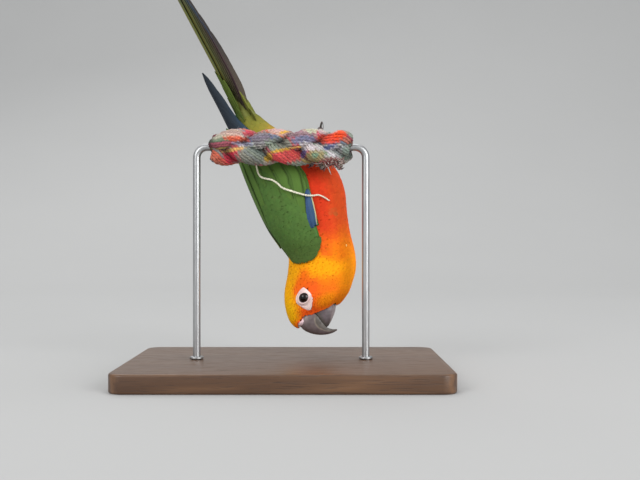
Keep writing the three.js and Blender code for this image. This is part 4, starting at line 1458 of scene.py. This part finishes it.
class Vanes(Coat):
    """Long feathers, each with an island of its own on the bake's map."""

    ACROSS, ALONG = 8, 26
    # Where the template's even columns go, from the shaft to the edge.
    COLUMNS = (0, 0.25, 0.5, 0.75, 1), (0, 0.07, 0.42, 0.78, 1)

    def __init__(self, columns: int, rows: int) -> None:
        """Readies the template and the map's grid of islands."""
        super().__init__()
        self.grid = (columns, rows)
        self.made = 0
        self.template = Template.vane(self.ACROSS, self.ALONG)
        x = self.template.across
        self.template.across = np.sign(x) * np.interp(np.abs(x), *self.COLUMNS)

    def add(self, middle: Callable, outline: Outline, tint: Callable, rng: Random,
            side: Side = Side.LEFT) -> None:
        """Adds one feather.

        Args:
            middle: Its middle surface.
            outline: Its cut.
            tint: The colours of its two faces at t along it and x across it.
            rng: The seeded source of its barbs' splits.
            side: The bird's side that it is on.
        """
        t, x, face = self.template.along, self.template.across, self.template.side
        edge = np.clip((np.abs(x) - 0.5) / 0.5, 0, 1)
        cut = np.zeros_like(t)
        for _ in range(outline.splits):
            where, sign, deep = rng.uniform(0.25, 0.97), rng.choice([-1, 1]), rng.uniform(0.05, 0.2)
            cut = np.maximum(cut, deep * np.exp(-((t - where) / 0.012) ** 2) * (np.sign(x) == sign))
        ragged = 1 + rng.normal(0, 0.02, len(t)) * edge
        out = x * outline.width(t) * (1 - cut * edge) * ragged
        point, up = middle(t, out)
        shaft = outline.shaft * (np.abs(x) < 0.03) * lerp(1, 0.35, t)
        thick = outline.thick / 2 * lerp(1, 0.5, edge)
        raised = point + up * (face * (thick + shaft) - 0.25 * x * x)[:, None]
        over, under = (np.broadcast_to(c, (len(t), 3)) for c in tint(t, x))
        colour = np.where((face > 0)[:, None], over, under) * rng.normal(1, 0.05)
        # Painted shade: each long feather is darker towards its root, where other feathers lie over it.
        colour = colour * lerp(0.85, 1, smooth(t, 0, 0.4))[:, None]
        column, row = self.made % self.grid[0], self.made // self.grid[0] % self.grid[1]
        u = (column + 0.06 + 0.43 * (x * 0.5 + 0.5) + np.where(face > 0, 0, 0.45)) / self.grid[0]
        v = (row + 0.04 + 0.92 * t) / self.grid[1]
        self.made += 1
        super().add(to_metres(side.of(raised))[None], self.template, np.stack([u, v], -1)[None], colour[None],
                    mirrored=side is Side.RIGHT)


TAIL = Tail()


class WingGround(Ground):
    """The outside of a folded wing: stations from bend to tip, and shares from trailing to leading edge."""

    spans = (6, 1)
    # The last station that swells, the middle's heights at the bend and there, and the edges' height.
    LAST, THICK, END_THICK, THIN = 4.6, 6.2, 4.2, 0.9

    @staticmethod
    def start(share: Array) -> Array:
        """The station of the wing's bend, which is round."""
        return 0.42 + np.where(share < 0.5, 0.5, 1.25) * np.abs(2 * share - 1) ** 4

    def swell(self, station: Array, share: Array) -> Array:
        """The wing's height over the body."""
        inner = np.clip(share, 0.02, 0.98)
        start = self.start(inner)
        along = np.clip((station - start) / (self.LAST - start), 0, 1)
        crown = np.sin(np.pi * inner) ** 0.55 * np.sin(np.pi * np.clip(0.06 + along * 0.8, 0, 0.62)) ** 0.7
        over = np.maximum(np.maximum(share - 0.98, 0.02 - share), 0)
        before = np.maximum(start - station, 0)
        return lerp(self.THIN, lerp(self.THICK, self.END_THICK, along), crown) - over * 60 - before * 8

    def point(self, a: Array, b: Array, lift: Array) -> Array:
        """A point in the bird's frame."""
        return self.over(a, b, self.swell(a, b) + lift)

    @staticmethod
    def over(station: Array, share: Array, lift: Array) -> Array:
        """A point at a height over the body."""
        edges = range(len(WING_TRAIL))
        trail, lead = np.interp(station, edges, WING_TRAIL), np.interp(station, edges, WING_LEAD)
        return FLANK.place(station, lerp(trail, lead, share), lift)


@dataclass(frozen=True)
class Tier:
    """A row of long feathers on the folded wing, each laid from its root to its tip."""

    count: int
    half: float
    root: Callable[[float], tuple[float, float, float]]
    tip: Callable[[float], tuple[float, float, float]]
    outline: Outline
    tint: Callable
    tilt: float = 0.1


@dataclass
class Wing:
    """A folded wing: its flesh, small coverts, and tiers of long feathers."""

    side: Side
    ground: WingGround = field(default_factory=WingGround)

    def feather(self, root: Sequence[float], tip: Sequence[float], half: float, tilt: float) -> Callable:
        """The middle surface of a feather on the wing, from one [station, share, lift] to another."""
        halves = np.array([s[2] for s in WING_STATIONS], float)

        def at(t: Array) -> tuple[Array, Array, Array]:
            return lerp(root[0], tip[0], t), lerp(root[1], tip[1], t * t), lerp(root[2], tip[2], t)

        def middle(t: Array, x: Array) -> tuple[Array, Array]:
            station, share, lift = at(t)
            point = self.ground.over(station, share, lift)
            ahead = unit(self.ground.over(*at(t + 0.02)) - self.ground.over(*at(t - 0.02)))
            inner = self.ground.over(station, share, np.zeros_like(t))
            up = unit(self.ground.over(station, share, np.full(t.shape, 2.0)) - inner)
            across = unit(np.cross(up, ahead))
            side = self.ground.over(station, share + 0.02, np.zeros_like(t)) - inner
            across = across * np.sign((across * side).sum(-1, keepdims=True))
            out = x * half
            sag = 0.5 * out ** 2 / (np.interp(station, range(len(halves)), halves) + lift)
            return point + across * out[:, None] + up * (tilt * out - sag)[:, None], up
        return middle

    def flesh(self) -> Piece:
        """The cushion under the coverts."""
        clay = Clay()

        def shape(u: Array, v: Array) -> Array:
            upper = u < 0.5
            share = np.where(upper, 2 * u, 2 - 2 * u)
            rim_and_crease_shade = closing(v, 0.04)
            start = self.ground.start(share) + 0.12
            station = lerp(start, self.ground.LAST + 0.3, v)
            share = lerp(0.03, 0.97, share)
            top = np.maximum(self.ground.swell(station, share) - 1.1, 0.2)
            lift = np.where(upper, lerp(0, top, rim_and_crease_shade), lerp(0, -1.2, rim_and_crease_shade))
            lift = lift * np.clip(np.minimum(share - 0.03, 0.97 - share) / 0.03, 0, 1)
            return to_metres(self.side.of(self.ground.over(station, share, lift)))

        clay.grow(48, 30, shape, linear("46702c"))
        return clay.piece(f"wing_flesh_{self.side.word}")

    @staticmethod
    def green(station: Array, share: Array) -> Array:
        """The small coverts' green: darker at the bend, brighter at the leading edge near the perch."""
        colour = wash(linear("455a28"), "4b6a31", smooth(station, 0.4, 2.4))
        colour = wash(colour, "57752a", smooth(station, 3.2, 5.2) * smooth(share, 0.5, 0.9))
        return wash(colour, "5a7232", smooth(share, 0.16, 0.0) * 0.8)

    @staticmethod
    def covert_half(station: Array) -> Array:
        """Half a small covert's width at a station."""
        return lerp(1.5, 3.3, smooth(station, 0.4, 4.6))

    def small_coverts(self, rng: Random) -> Tract:
        """Rows of small coverts from the bend of the wing back."""
        stations, shares = [], []
        station, row = 0.36, 0
        while station < 5.1:
            size = self.covert_half(station)
            _, mb = self.ground.metric(np.array([station]), np.array([0.5]))
            count = int(mb[0] * 1.04 / (size * 1.05))
            shares.append((np.arange(count) + 0.25 + 0.5 * (row % 2)) / count * 1.04 - 0.02)
            stations.append(np.full(count, station))
            station += size * 0.75 / 12.5
            row += 1
        a, b = np.concatenate(stations), np.concatenate(shares)
        start = self.ground.start(np.clip(b, 0.02, 0.98))
        keep = (a > start - 0.08) & ~((b > 0.86) & (a > 1.5) & (a < 4.15))
        a, b = a[keep], b[keep]
        count = len(a)
        size = self.covert_half(a)
        a = a + rng.uniform(-0.25, 0.25, count) * size / 13
        b = b + rng.uniform(-0.2, 0.2, count) * size / 40
        return Tract(
            a, b, size * 3.1 * rng.normal(1, 0.07, count), size * 1.02 * rng.normal(1, 0.07, count),
            np.full(count, 0.6), rng.uniform(0.02, 0.12, count),
            rng.normal(0, 0.08, count) + 0.12 * (b - 0.5), varied(self.green(a + 0.3, b), rng, 0.045, 0.02),
        )

    def tiers(self) -> Sequence[Tier]:
        """The tiers of long feathers, from the innermost out."""
        below = linear("3a4436")

        def quill(t: Array, x: Array) -> tuple[Array, Array]:
            over = wash(linear("2a3946"), "1e262e", smooth(t, 0.5, 1))
            over = wash(over, "2e4a60", smooth(x, 0.3, 0.9) * smooth(t, 0.85, 0.4))
            over = wash(over, "4b6e2a", smooth(x, 0, 0.5) * smooth(t, 0.45, 0.3))
            return over, linear("26282c")

        def second(t: Array, x: Array) -> tuple[Array, Array]:
            over = wash(linear("3c5a28"), "4b6a2b", smooth(x, -0.6, 0.7))
            return over * lerp(1, 0.82, smooth(t, 0.8, 1))[..., None], below

        def covert(_: Array, x: Array) -> tuple[Array, Array]:
            over = wash(linear("3e5c28"), "4f6e2b", smooth(x, -0.9, 0.4))
            # Painted shade: both edges are darker, where each covert meets the next.
            return over * lerp(1, 0.5, smooth(np.abs(x), 0.86, 1.0))[..., None], below

        def rim_and_crease_shade(_: Array, x: Array) -> tuple[Array, Array]:
            # One half is yellow green; the other half is very dark, painted shade of the crease under the
            # wing's edge.
            return wash(linear("22341a"), "94a238", smooth(-x, 0.0, 0.4)), below

        def plain_blue(_: Array, x: Array) -> tuple[Array, Array]:
            return wash(linear("2f4a74"), "365272", smooth(x, -1, 1)), linear("303a4c")

        def edged_blue(t: Array, x: Array) -> tuple[Array, Array]:
            over = wash(linear("34507a"), "3c566c", smooth(t, 0.5, 1))
            over = wash(over, "cfc98a", smooth(x, 0.62, 0.86) * smooth(t, 0.95, 0.7) * 0.9)
            return over, linear("303a4c")

        return (
            Tier(10, 4.4, lambda u: (lerp(3.6, 2.4, u), lerp(0.8, 0.95, u), 1.2),
                 lambda u: (lerp(8.6, 11.8, u ** 0.9), lerp(0.44, 0.56, u), lerp(2.1, 1.0, u)),
                 Outline(tip=0.72, thick=0.3), quill),
            Tier(11, 5.6, lambda u: (lerp(3.4, 3, u), lerp(0.1, 0.86, u), 2.2),
                 lambda u: (lerp(8.9, 6.9, u), lerp(0.2, 0.84, u), 2.7),
                 Outline(tip=0.76), second),
            Tier(6, 6.4, lambda u: (2.8, lerp(0.08, 0.79, u), 3.2),
                 lambda u: (lerp(7.2, 6.4, u), lerp(0.1, 0.84, u), 3.9),
                 Outline(tip=0.74), covert, 0.12),
            Tier(1, 1.5, lambda _: self.lying(1.9, 0.1, 0.6), lambda _: self.lying(5.4, 0.07, 0.6),
                 Outline(tip=0.7), rim_and_crease_shade, 0.0),
            Tier(3, 2.5, lambda u: self.lying(2.35 + 0.2 * u, 0.9 + 0.03 * u, 0.5),
                 lambda u: self.lying(lerp(3.8, 4.2, u), 0.935 + 0.025 * u, 0.9),
                 Outline(tip=0.4), plain_blue, 0.0),
            Tier(1, 2.2, lambda _: self.lying(2.45, 0.955, 0.6), lambda _: self.lying(4.2, 0.975, 0.9),
                 Outline(tip=0.5), edged_blue, -0.05),
        )

    def lying(self, station: float, share: float, lift: float) -> tuple[float, float, float]:
        """A place on the small coverts, for the end of a feather."""
        return station, share, float(self.ground.swell(np.array(station), np.array(share))) + lift

    def build(self, feathers: Material, vanes: Material) -> None:
        """Builds the wing's pieces."""
        rng = np.random.default_rng(31 if self.side is Side.LEFT else 37)
        word = self.side.word
        dress(self.flesh(), SkinFinish(f"wing_skin_{word}").material(), (f"wing_{word}",))
        coat = Vanes(9, 4)
        for tier in self.tiers():
            for i in range(tier.count):
                u = i / max(1, tier.count - 1)
                middle = self.feather(tier.root(u), tier.tip(u), tier.half, tier.tilt)
                coat.add(middle, tier.outline, tier.tint, rng, self.side)
        dress(coat.piece(f"flight_feathers_{word}"), vanes)
        coat = Coat()
        cover(coat, self.ground, self.small_coverts(rng), 5, rng, self.side)
        dress(coat.piece(f"wing_coverts_{word}"), feathers)


# The perch and what grips it

@dataclass(frozen=True)
class Lobe:
    """A run of yarns of one colour that shows on the front of the braid."""

    colour: str
    x: float
    z: float
    wide: float
    high: float
    tilt: float = 0
    strength: float = 0.9


@dataclass
class Perch:
    """A cut length of three-strand braid, each strand a bundle of coloured cotton yarns."""

    left: float = -50
    right: float = 43
    height: float = 153.7
    strand: float = 6.1
    rise: float = 6.4
    depth: float = 3.4
    pitch: float = 74
    yarns: int = 16
    yarn: float = 1.12
    # How strong the colours are, and how dark the painted shade between the strands is.
    vivid: float = 1.14
    crease_shade: float = 0.22
    fibres: int = 2100
    cut_ends: int = 110
    # Colours of the yarns round each strand, where no lobe lies over them.
    COLOURS = (
        ("b8606a", "b0565c", "c09a60", "8a9488", "808a80", "7a847c", "c0b8ac", "a9a498", "b8606a", "a88a86"),
        ("c06a58", "c87868", "747c8c", "6c7890", "ccc8c0", "d0ccc4", "8a967e", "b09c88", "b06a68", "948a8a"),
        ("949a8e", "8c9488", "b0606a", "b87868", "7a8494", "c8c4bc", "beb6a8", "84947e", "a8606a", "b89a68"),
    )
    LOBES = (
        Lobe("cd3c50", -34.8, 146, 7.2, 5.4), Lobe("828c82", -22.6, 147.4, 10.5, 7),
        Lobe("d8b070", -35, 151.4, 8, 1.2, 8), Lobe("dc6450", -32.2, 158.4, 9, 2.3, -6),
        Lobe("c4c0d8", -28, 155.4, 7.5, 1.4, -4), Lobe("c2a89c", -36, 163.2, 8, 3),
        Lobe("cc505e", -23.7, 163, 5, 2.8), Lobe("877d82", -16.4, 158.6, 7.2, 5.6),
        Lobe("c4a8a6", -2, 164.4, 10, 3.6), Lobe("e2b24e", 1.4, 164.6, 7, 1.1, 20),
        Lobe("8c9184", -4.6, 155, 9.6, 4.6), Lobe("d05254", 0.6, 147.2, 12, 4.8, 10),
        Lobe("d0a850", -4, 150.8, 8, 1, 12), Lobe("d8b050", -12, 146.4, 3.2, 2.2, 30),
        Lobe("6a5c92", 11.6, 149.4, 1.8, 4.4, -20), Lobe("967a84", 9.9, 161.8, 10.5, 3),
        Lobe("7a809c", 11.9, 157.6, 8.6, 3, 4), Lobe("dcd6d6", 17.2, 152.8, 8.2, 3.2, -16),
        Lobe("a69c72", 19.2, 147, 6.6, 4.2, 10), Lobe("7fa088", 19, 147.6, 2.4, 1.7),
        Lobe("e25844", 28.6, 158.6, 8, 4), Lobe("ec5c3c", 35.6, 162, 4.8, 3.2),
        Lobe("6674a2", 29.6, 153, 5.8, 2, 6), Lobe("dad8da", 34, 150, 8.2, 4, 24),
        Lobe("96a496", 40, 149, 3.6, 5), Lobe("86504e", 31, 143, 7.6, 3.6),
        Lobe("c0c4ac", 16.5, 165.4, 5, 3), Lobe("c8b4b4", 27, 164.6, 6.4, 2.4),
    )

    def plait(self, strand: int, x: Array) -> Array:
        """The middle of a strand at x, in the shared frame."""
        turn = 2 * math.pi * x / self.pitch + 2 * math.pi * strand / 3
        share = lerp(0.66, 1, smooth(np.minimum(x - self.left, self.right - x), 0, 9))
        deep, high = -self.depth * share * np.sin(2 * turn), self.rise * share * np.sin(turn)
        return np.stack([x, deep, self.height + high], -1)

    def lobes_and_crease_shade(self, points: Array, own: Array) -> Array:
        """The yarns' own colour with the lobes over it on the front, and painted shade between the strands,
        at points in millimetres.
        """
        x, y, z = points.T
        colour = np.broadcast_to(own, points.shape)
        front = smooth(-y, -2.5, 2.0)
        wave = 0.14 * np.sin(x * 1.7 + z * 1.1) + 0.1 * np.sin(x * 3.9 - z * 2.3)
        for lobe in self.LOBES:
            ahead, above = x - lobe.x, z - lobe.z
            c, s = math.cos(math.radians(lobe.tilt)), math.sin(math.radians(lobe.tilt))
            far = np.hypot((ahead * c + above * s) / lobe.wide, (above * c - ahead * s) / lobe.high) + wave
            colour = wash(colour, lobe.colour, smooth(far, 1.15, 0.8) * front * lobe.strength)
        # Painted shade: the colour grows darker towards the middle of the braid, in the creases between the
        # strands.
        out = np.hypot(y / (self.depth * 0.9 + self.strand), (z - self.height) / (self.rise + self.strand))
        colour = np.clip(lerp(colour.mean(-1, keepdims=True), colour, self.vivid), 0.01, 1)
        return colour * lerp(self.crease_shade, 0.94, smooth(out, 0.52, 0.9))[:, None]

    def yarn_on(self, clay: Clay, line: Array, wind: Array, own: Array, rng: Random) -> None:
        """Adds one yarn of a strand.

        Args:
            clay: What it is added to.
            line: The middle of its strand.
            wind: How far it has turned round that line at each of its points, in radians.
            own: Its colour.
            rng: The seeded source of what differs between yarns.
        """
        shares = np.linspace(0, 1, len(line))
        wobble = np.convolve(rng.normal(0, 1, len(line) + 8), np.ones(9) / 9, "valid")
        radius = self.yarn * rng.normal(1, 0.09)
        ends = lerp(0.8, 1, smooth(np.minimum(line[:, 0] - self.left, self.right - line[:, 0]), 0, 5))
        off = ends * (self.strand - radius - 0.05 + 0.3 * wobble)
        path = tube(line, lambda u, v: np.interp(v, shares, off), 1.0)(wind / (2 * math.pi), shares)
        phase = rng.uniform(0, 6)

        def thick(u: Array, v: Array) -> Array:
            plies = 1 + 0.17 * np.cos(2 * (2 * math.pi * u - v * 88 + phase))
            return radius * rounded(v, 0.012) * plies

        yarn = tube(path, thick)
        tone = rng.normal(1, 0.1) * rng.normal(1, 0.035, 3)
        clay.grow(7, 270, yarn, lambda u, v: self.lobes_and_crease_shade(yarn(u, v) / MM, own) * tone)

    def strands(self, rng: Random) -> Piece:
        """All yarns of the braid, wound round their strands."""
        clay = Clay()
        for strand, codes in enumerate(self.COLOURS):
            line = self.plait(strand, np.linspace(self.left, self.right, 150))
            # A dark core fills each strand; its dark colour is painted shade that shows in the gaps between
            # the yarns.
            clay.grow(10, 60, tube(line, lambda u, v: 4.6 * rounded(v, 0.03)), linear("6a5c5a"))
            length = np.concatenate([[0], np.cumsum(np.linalg.norm(np.diff(line, axis=0), axis=1))])
            for k in range(self.yarns):
                wind = 2 * math.pi * (k / self.yarns + length / 62) + strand
                self.yarn_on(clay, line, wind, linear(codes[int(k * len(codes) / self.yarns)]), rng)
        return clay.piece("rope_strands")

    def fibre(self, coat: Coat, template: Template, start: Array, way: Array, reach: float, thick: float,
              rng: Random, pale: float) -> None:
        """One loose fibre that starts at a point and bends away from its first direction."""
        t = np.linspace(0, 1, 6)[:, None]
        drift, bend = unit(rng.normal(0, 1, 3) * [1, 0.6, 0.7]), rng.normal(0, 0.35, 3) * reach
        line = start + way * reach * t * (1 - 0.5 * t) + drift * reach * 0.7 * t + bend * t * t
        own = self.lobes_and_crease_shade(start[None], linear("b4a8a0"))[0]
        hair = tube(line, lambda u, v: thick * (0.15 + 0.85 * rounded(v, 0.3)))
        points = hair(template.across, template.along)
        turn = math.atan2(start[2] - self.height, start[1]) / (2 * math.pi) % 1
        root = np.array([(start[0] - self.left) / (self.right - self.left), turn]) * 0.98 + 0.01
        bake = root + np.stack([template.across, template.along], -1) * BAKE_PATCH
        coat.add(points[None], template, bake, wash(own, "d2cac0", pale) * rng.normal(1, 0.08))

    def fuzz(self, rng: Random) -> Piece:
        """Loose fibres that stand off the yarns, and cut ends that hang under the right end."""
        coat, template = Coat(), Template.round(4, 5)
        for _ in range(self.fibres):
            x = rng.uniform(self.left + 1, self.right - 1)
            middle = self.plait(rng.integers(3), np.array(x))
            turn = rng.uniform(0, 2 * math.pi)
            way = unit(np.array([rng.normal(0, 0.6), math.cos(turn), math.sin(turn)]))
            start = middle + way * [1, self.strand - 0.4, self.strand - 0.4]
            self.fibre(coat, template, start, way, rng.uniform(0.6, 2.0), 0.055, rng, rng.uniform(0.1, 0.9))
        for _ in range(self.cut_ends):
            start = np.array([rng.uniform(23, 38), rng.uniform(-6, 4), 144.5])
            way = unit(np.array([rng.normal(0, 0.35), rng.normal(-0.2, 0.4), -1.0]))
            self.fibre(coat, template, start, way, rng.uniform(3.0, 6.4), rng.uniform(0.2, 0.5), rng,
                       rng.choice([0.0, 0.1, 0.7]))
        return coat.piece("rope_fuzz")

    def build(self) -> None:
        """Builds the braid and its fibres."""
        rng = np.random.default_rng(41)
        finish = YarnFinish("cotton_yarn").material()
        dress(self.strands(rng), finish, ("perch_rope",))
        dress(self.fuzz(rng), finish)


PERCH = Perch()


@dataclass
class LooseThread:
    """The pale thread that hangs out of the rope and lies down over the wing to the belly."""

    radius: float = 0.65
    length: float = 0.0712
    START = (-20.2, 0.6, 142.4)
    # Station, degrees and height over the side of the body.
    PATH = (
        (5.6, 50.8, 6.8), (5.34, 53.7, 6.6), (5.08, 62.4, 6.5), (4.82, 67, 6.5), (4.54, 70.3, 6.4),
        (4.27, 78, 6.4), (4.04, 85.9, 6.2), (3.89, 93.1, 5.3), (3.83, 99.9, 4.2), (3.82, 107.4, 2.8),
        (3.7, 114.6, 1.8), (3.49, 123, 1.4),
    )

    def build(self) -> None:
        lying = to_metres(FLANK.place(*np.array(self.PATH).T)) / MM
        top = np.array(self.START)
        route = Curve(np.vstack([top, top + [0, 1.5, -1.6], lying]))
        line = route.at(np.linspace(0, route.spans, 160))

        def thick(u: Array, v: Array) -> Array:
            plies = 1 + 0.14 * np.cos(2 * (2 * math.pi * u - v * 110))
            return self.radius * lerp(0.66, 1, np.sin(math.pi * v)) * rounded(v, 0.008) * plies

        clay = Clay()
        clay.grow(12, 220, tube(line, thick), linear("ece8d2"))
        piece = clay.piece("loose_thread")
        dress(piece, YarnFinish("pale_thread", 90, 0.12).material(), ("perch_thread",))


@dataclass(frozen=True)
class Toe:
    """A toe that lies round the perch.

    Its start, end and claw are in degrees round from the perch's back over its top. Its slant runs along the
    perch, the arch is how far its claw stands off, and its thickness is a share of the foot's.
    """

    start: float
    end: float
    slant: float
    claw: float
    arch: float
    thick: float


@dataclass
class Foot:
    """A foot: shank, four scaly toes round the perch and their claws."""

    leg: Leg
    radius: float = 2.1
    claw: float = 0.85
    # How far the right foot's front toes reach, as a share of the left one's.
    reach: float = 0.52
    tint: str = "6a605e"
    TOES = (
        Toe(4, 46, -3.6, 26, 0.6, 0.9), Toe(4, 66, 2.4, 52, 3, 1), Toe(-16, -68, 3.6, 24, 0.7, 0.95),
        Toe(-16, -54, -3.2, 24, 0.7, 0.85),
    )

    def round_perch(self, x: Array, degrees: Array, over: Array) -> Array:
        """A place round the perch, from its back over its top, at a height over its braid."""
        turn = np.radians(degrees)
        deep = PERCH.depth * 0.9 + PERCH.strand + over
        high = PERCH.rise + PERCH.strand + over
        return np.stack(np.broadcast_arrays(x, deep * np.cos(turn), PERCH.height + high * np.sin(turn)), -1)

    def shank(self, toes: Clay) -> None:
        """Adds the ringed shank, from the ankle to the palm."""
        palm = self.round_perch(np.array(self.leg.x), np.array(-4.0), np.array(2.9))
        t = np.linspace(-0.25, 1, 24)[:, None]

        def thick(_: Array, v: Array) -> Array:
            rings = 1 + 0.04 * np.abs(np.sin(v * 34))
            return np.interp(v, [0, 0.5, 1], [3, 2.5, 2.9]) * rings * rounded(v, 0.12)

        toes.grow(20, 60, tube(lerp(np.array(self.leg.ankle, float), palm, t), thick), linear(self.tint))

    def toe(self, toe: Toe, toes: Clay, claws: Clay) -> None:
        """Adds a toe and its claw."""
        reach = self.reach if toe.end > 0 and self.leg.side is Side.RIGHT else 1
        end, radius = toe.end * reach, self.radius * toe.thick
        t = np.linspace(0, 1, 40)
        line = self.round_perch(self.leg.x + toe.slant * (0.25 + t), lerp(toe.start, end, t), radius + 0.3)

        def thick(u: Array, v: Array) -> Array:
            scales = 0.07 * np.abs(np.sin(v * 30)) * smooth(np.cos(2 * math.pi * u), -0.4, 0.4)
            return radius * lerp(1.1, 0.86, v) * (1 + scales + 0.05 * np.sin(v * 9)) * rounded(v, 0.12)

        toes.grow(16, 70, tube(line, thick), linear(self.tint))
        over = lerp(radius, 0.35, t) + toe.arch * reach * np.sin(math.pi * t) + 0.3
        turned = end + math.copysign(1, end - toe.start) * lerp(-6, toe.claw * reach, t)
        nail = self.round_perch(self.leg.x + toe.slant * (1.1 + 0.9 * t), turned, over)
        taper = tube(nail, lambda u, v: self.claw * lerp(1, 0.14, v ** 0.8) * rounded(v, 0.06))
        claws.grow(14, 36, taper, np.ones(3))

    def build(self, skin: Material, horn: Material) -> None:
        """Builds the foot."""
        word = self.leg.side.word
        toes, claws = Clay(), Clay()
        self.shank(toes)
        for toe in self.TOES:
            self.toe(toe, toes, claws)
        dress(toes.piece(f"toes_{word}"), skin, (f"foot_{word}",))
        dress(claws.piece(f"claws_{word}"), horn)


@dataclass
class Stand:
    """A flat wooden base and two bent steel rods that carry the perch."""

    length: float = 210
    depth: float = 140
    height: float = 12
    corner: float = 10
    rod: float = 2.5
    bend: float = 7
    socket: float = 8
    plug: float = 9
    eased: float = 1.4
    # A collar round each rod's foot: its radius and height.
    collar: tuple[float, float] = (4.6, 2.2)
    feet: tuple[float, float] = (-60, 53)

    def board(self) -> Piece:
        """The base, its corners round and its edges eased."""
        bm = bmesh.new()
        bmesh.ops.create_cube(bm, size=1)
        bmesh.ops.scale(bm, vec=(self.length * MM, self.depth * MM, self.height * MM), verts=bm.verts[:])
        bmesh.ops.translate(bm, vec=(0, 0, self.height / 2 * MM), verts=bm.verts[:])
        for upright, width, steps in ((True, self.corner, 10), (False, self.eased, 4)):
            edges = [e for e in bm.edges if (abs(e.verts[0].co.z - e.verts[1].co.z) > 1e-6) == upright]
            bmesh.ops.bevel(bm, geom=edges, offset=width * MM, segments=steps, profile=0.5, affect="EDGES",
                            material=-1)
        mesh = bpy.data.meshes.new("stand_board")
        bm.to_mesh(mesh)
        bm.free()
        return linked("stand_board", mesh)

    def bent_rod(self, foot: float, end: float) -> Array:
        """Points along a rod, from its socket in the base to its plug in the perch."""
        def level(x: Array, z: Array) -> Array:
            return np.stack(np.broadcast_arrays(x, 0.0, z), -1)

        inward = math.copysign(1, end - foot)
        turn = np.linspace(0, math.pi / 2, 12)[1:]
        low = level(foot, np.linspace(self.height - self.socket, PERCH.height - self.bend, 30))
        ahead, below = self.bend * (1 - np.cos(turn)), self.bend * (1 - np.sin(turn))
        bow = level(foot + inward * ahead, PERCH.height - below)
        tip = level(np.linspace(bow[-1, 0], end + inward * self.plug, 8)[1:], PERCH.height)
        return np.vstack([low, bow, tip])

    def build(self) -> None:
        """Builds base and rods."""
        dress(self.board(), WoodFinish().material(), ("stand_base",))
        steel = SteelFinish().material()
        for word, foot, end in zip(("left", "right"), self.feet, (PERCH.left, PERCH.right)):
            clay = Clay()
            rod = tube(self.bent_rod(foot, end), lambda u, v: self.rod * rounded(v, 0.004))
            clay.grow(28, 80, rod, np.ones(3))
            radius, high = self.collar
            line = np.array([[foot, 0, z] for z in np.linspace(self.height, self.height + high, 6)])
            collar = tube(line, lambda u, v: radius * rounded(v, 0.3) ** 0.5)
            clay.grow(28, 8, collar, np.ones(3))
            dress(clay.piece(f"steel_rod_{word}"), steel, (f"stand_rod_{word}",))


@dataclass
class Studio:
    """Camera, soft lights and a pale floor that runs up into a backdrop."""

    lens: float = 50.625
    place: tuple[float, float, float] = (0.0224, -0.602, 0.0917)
    # Each soft light's name, place, size and power, and the point that all of them look at.
    LIGHTS = (
        ("key", (-2.0, -2.4, 1.6), 1.9, 56), ("fill", (2.2, -2.3, 1.05), 1.9, 78),
        ("top", (0.2, 0.6, 3.2), 2.4, 34), ("back", (-0.8, 1.6, 1.9), 1.4, 10),
    )
    AIM = (0, 0.03, 0.12)
    # The light from all round: its colour and strength.
    AMBIENT = (0.86, 0.88, 0.9, 1)
    AMBIENT_STRENGTH = 0.62
    # Where behind the object the floor starts to run up, and the radius of its bend, in metres.
    FLOOR_END = 1
    FLOOR_BEND = 2.6

    def build(self) -> None:
        """Builds the studio."""
        camera = bpy.data.cameras.new("camera")
        camera.lens, camera.sensor_width = self.lens, 36
        camera.clip_start = 0.01
        shown = bpy.data.objects.new("camera", camera)
        shown.location, shown.rotation_euler = self.place, (math.pi / 2, 0, 0)
        bpy.context.scene.collection.objects.link(shown)
        bpy.context.scene.camera = shown
        bpy.context.scene.view_settings.view_transform = "Standard"
        for name, place, size, power in self.LIGHTS:
            light = bpy.data.lights.new(name, "AREA")
            light.size, light.energy = size, power
            lamp = bpy.data.objects.new(name, light)
            lamp.location = place
            lamp.rotation_euler = (Vector(self.AIM) - Vector(place)).to_track_quat("-Z", "Y").to_euler()
            bpy.context.scene.collection.objects.link(lamp)
        world = bpy.data.worlds.new("studio")
        world.use_nodes = True
        background = world.node_tree.nodes["Background"]
        background.inputs[0].default_value = self.AMBIENT
        background.inputs[1].default_value = self.AMBIENT_STRENGTH
        bpy.context.scene.world = world
        self.floor()

    def floor(self) -> None:
        """A pale floor, level all round the object, that runs up in a wide bend far behind it."""
        bm = bmesh.new()
        bmesh.ops.create_grid(bm, x_segments=8, y_segments=96, size=6)
        for vertex in bm.verts:
            past = vertex.co.y - self.FLOOR_END
            if past > 0:
                turn = min(past / self.FLOOR_BEND, math.pi / 2)
                vertex.co.y = self.FLOOR_END + self.FLOOR_BEND * math.sin(turn)
                vertex.co.z = self.FLOOR_BEND * (1 - math.cos(turn)) + max(0.0, past - self.FLOOR_BEND * turn)
        mesh = bpy.data.meshes.new("floor")
        bm.to_mesh(mesh)
        bm.free()
        mesh.polygons.foreach_set("use_smooth", [True] * len(mesh.polygons))
        floor = linked("floor", mesh)
        mesh.materials.append(FloorFinish().material())


def main() -> None:
    """Builds everything in order, the camera and the cord first."""
    logging.basicConfig(level=logging.INFO, format="%(message)s")
    Studio().build()
    LooseThread().build()
    Stand().build()
    PERCH.build()
    skin = SkinFinish("scaly_foot", 1100, 0.2).material()
    claw = HornFinish("claw_horn", "4a4442", "1c1918", 0.32).material()
    for leg in LEGS:
        Foot(leg).build(skin, claw)
    Body().build()
    TAIL.build()
    feathers = FeatherFinish("covert_barbs", 18, 3.0, 0.01, shine=0.16, blotch=0.26).material()
    vanes = FeatherFinish("flight_barbs", 60, 6.0, 0.06, 0.25, 0.62, 0.2, 0.26).material()
    for side in Side:
        Wing(side).build(feathers, vanes)


if __name__ == "__main__":
    main()
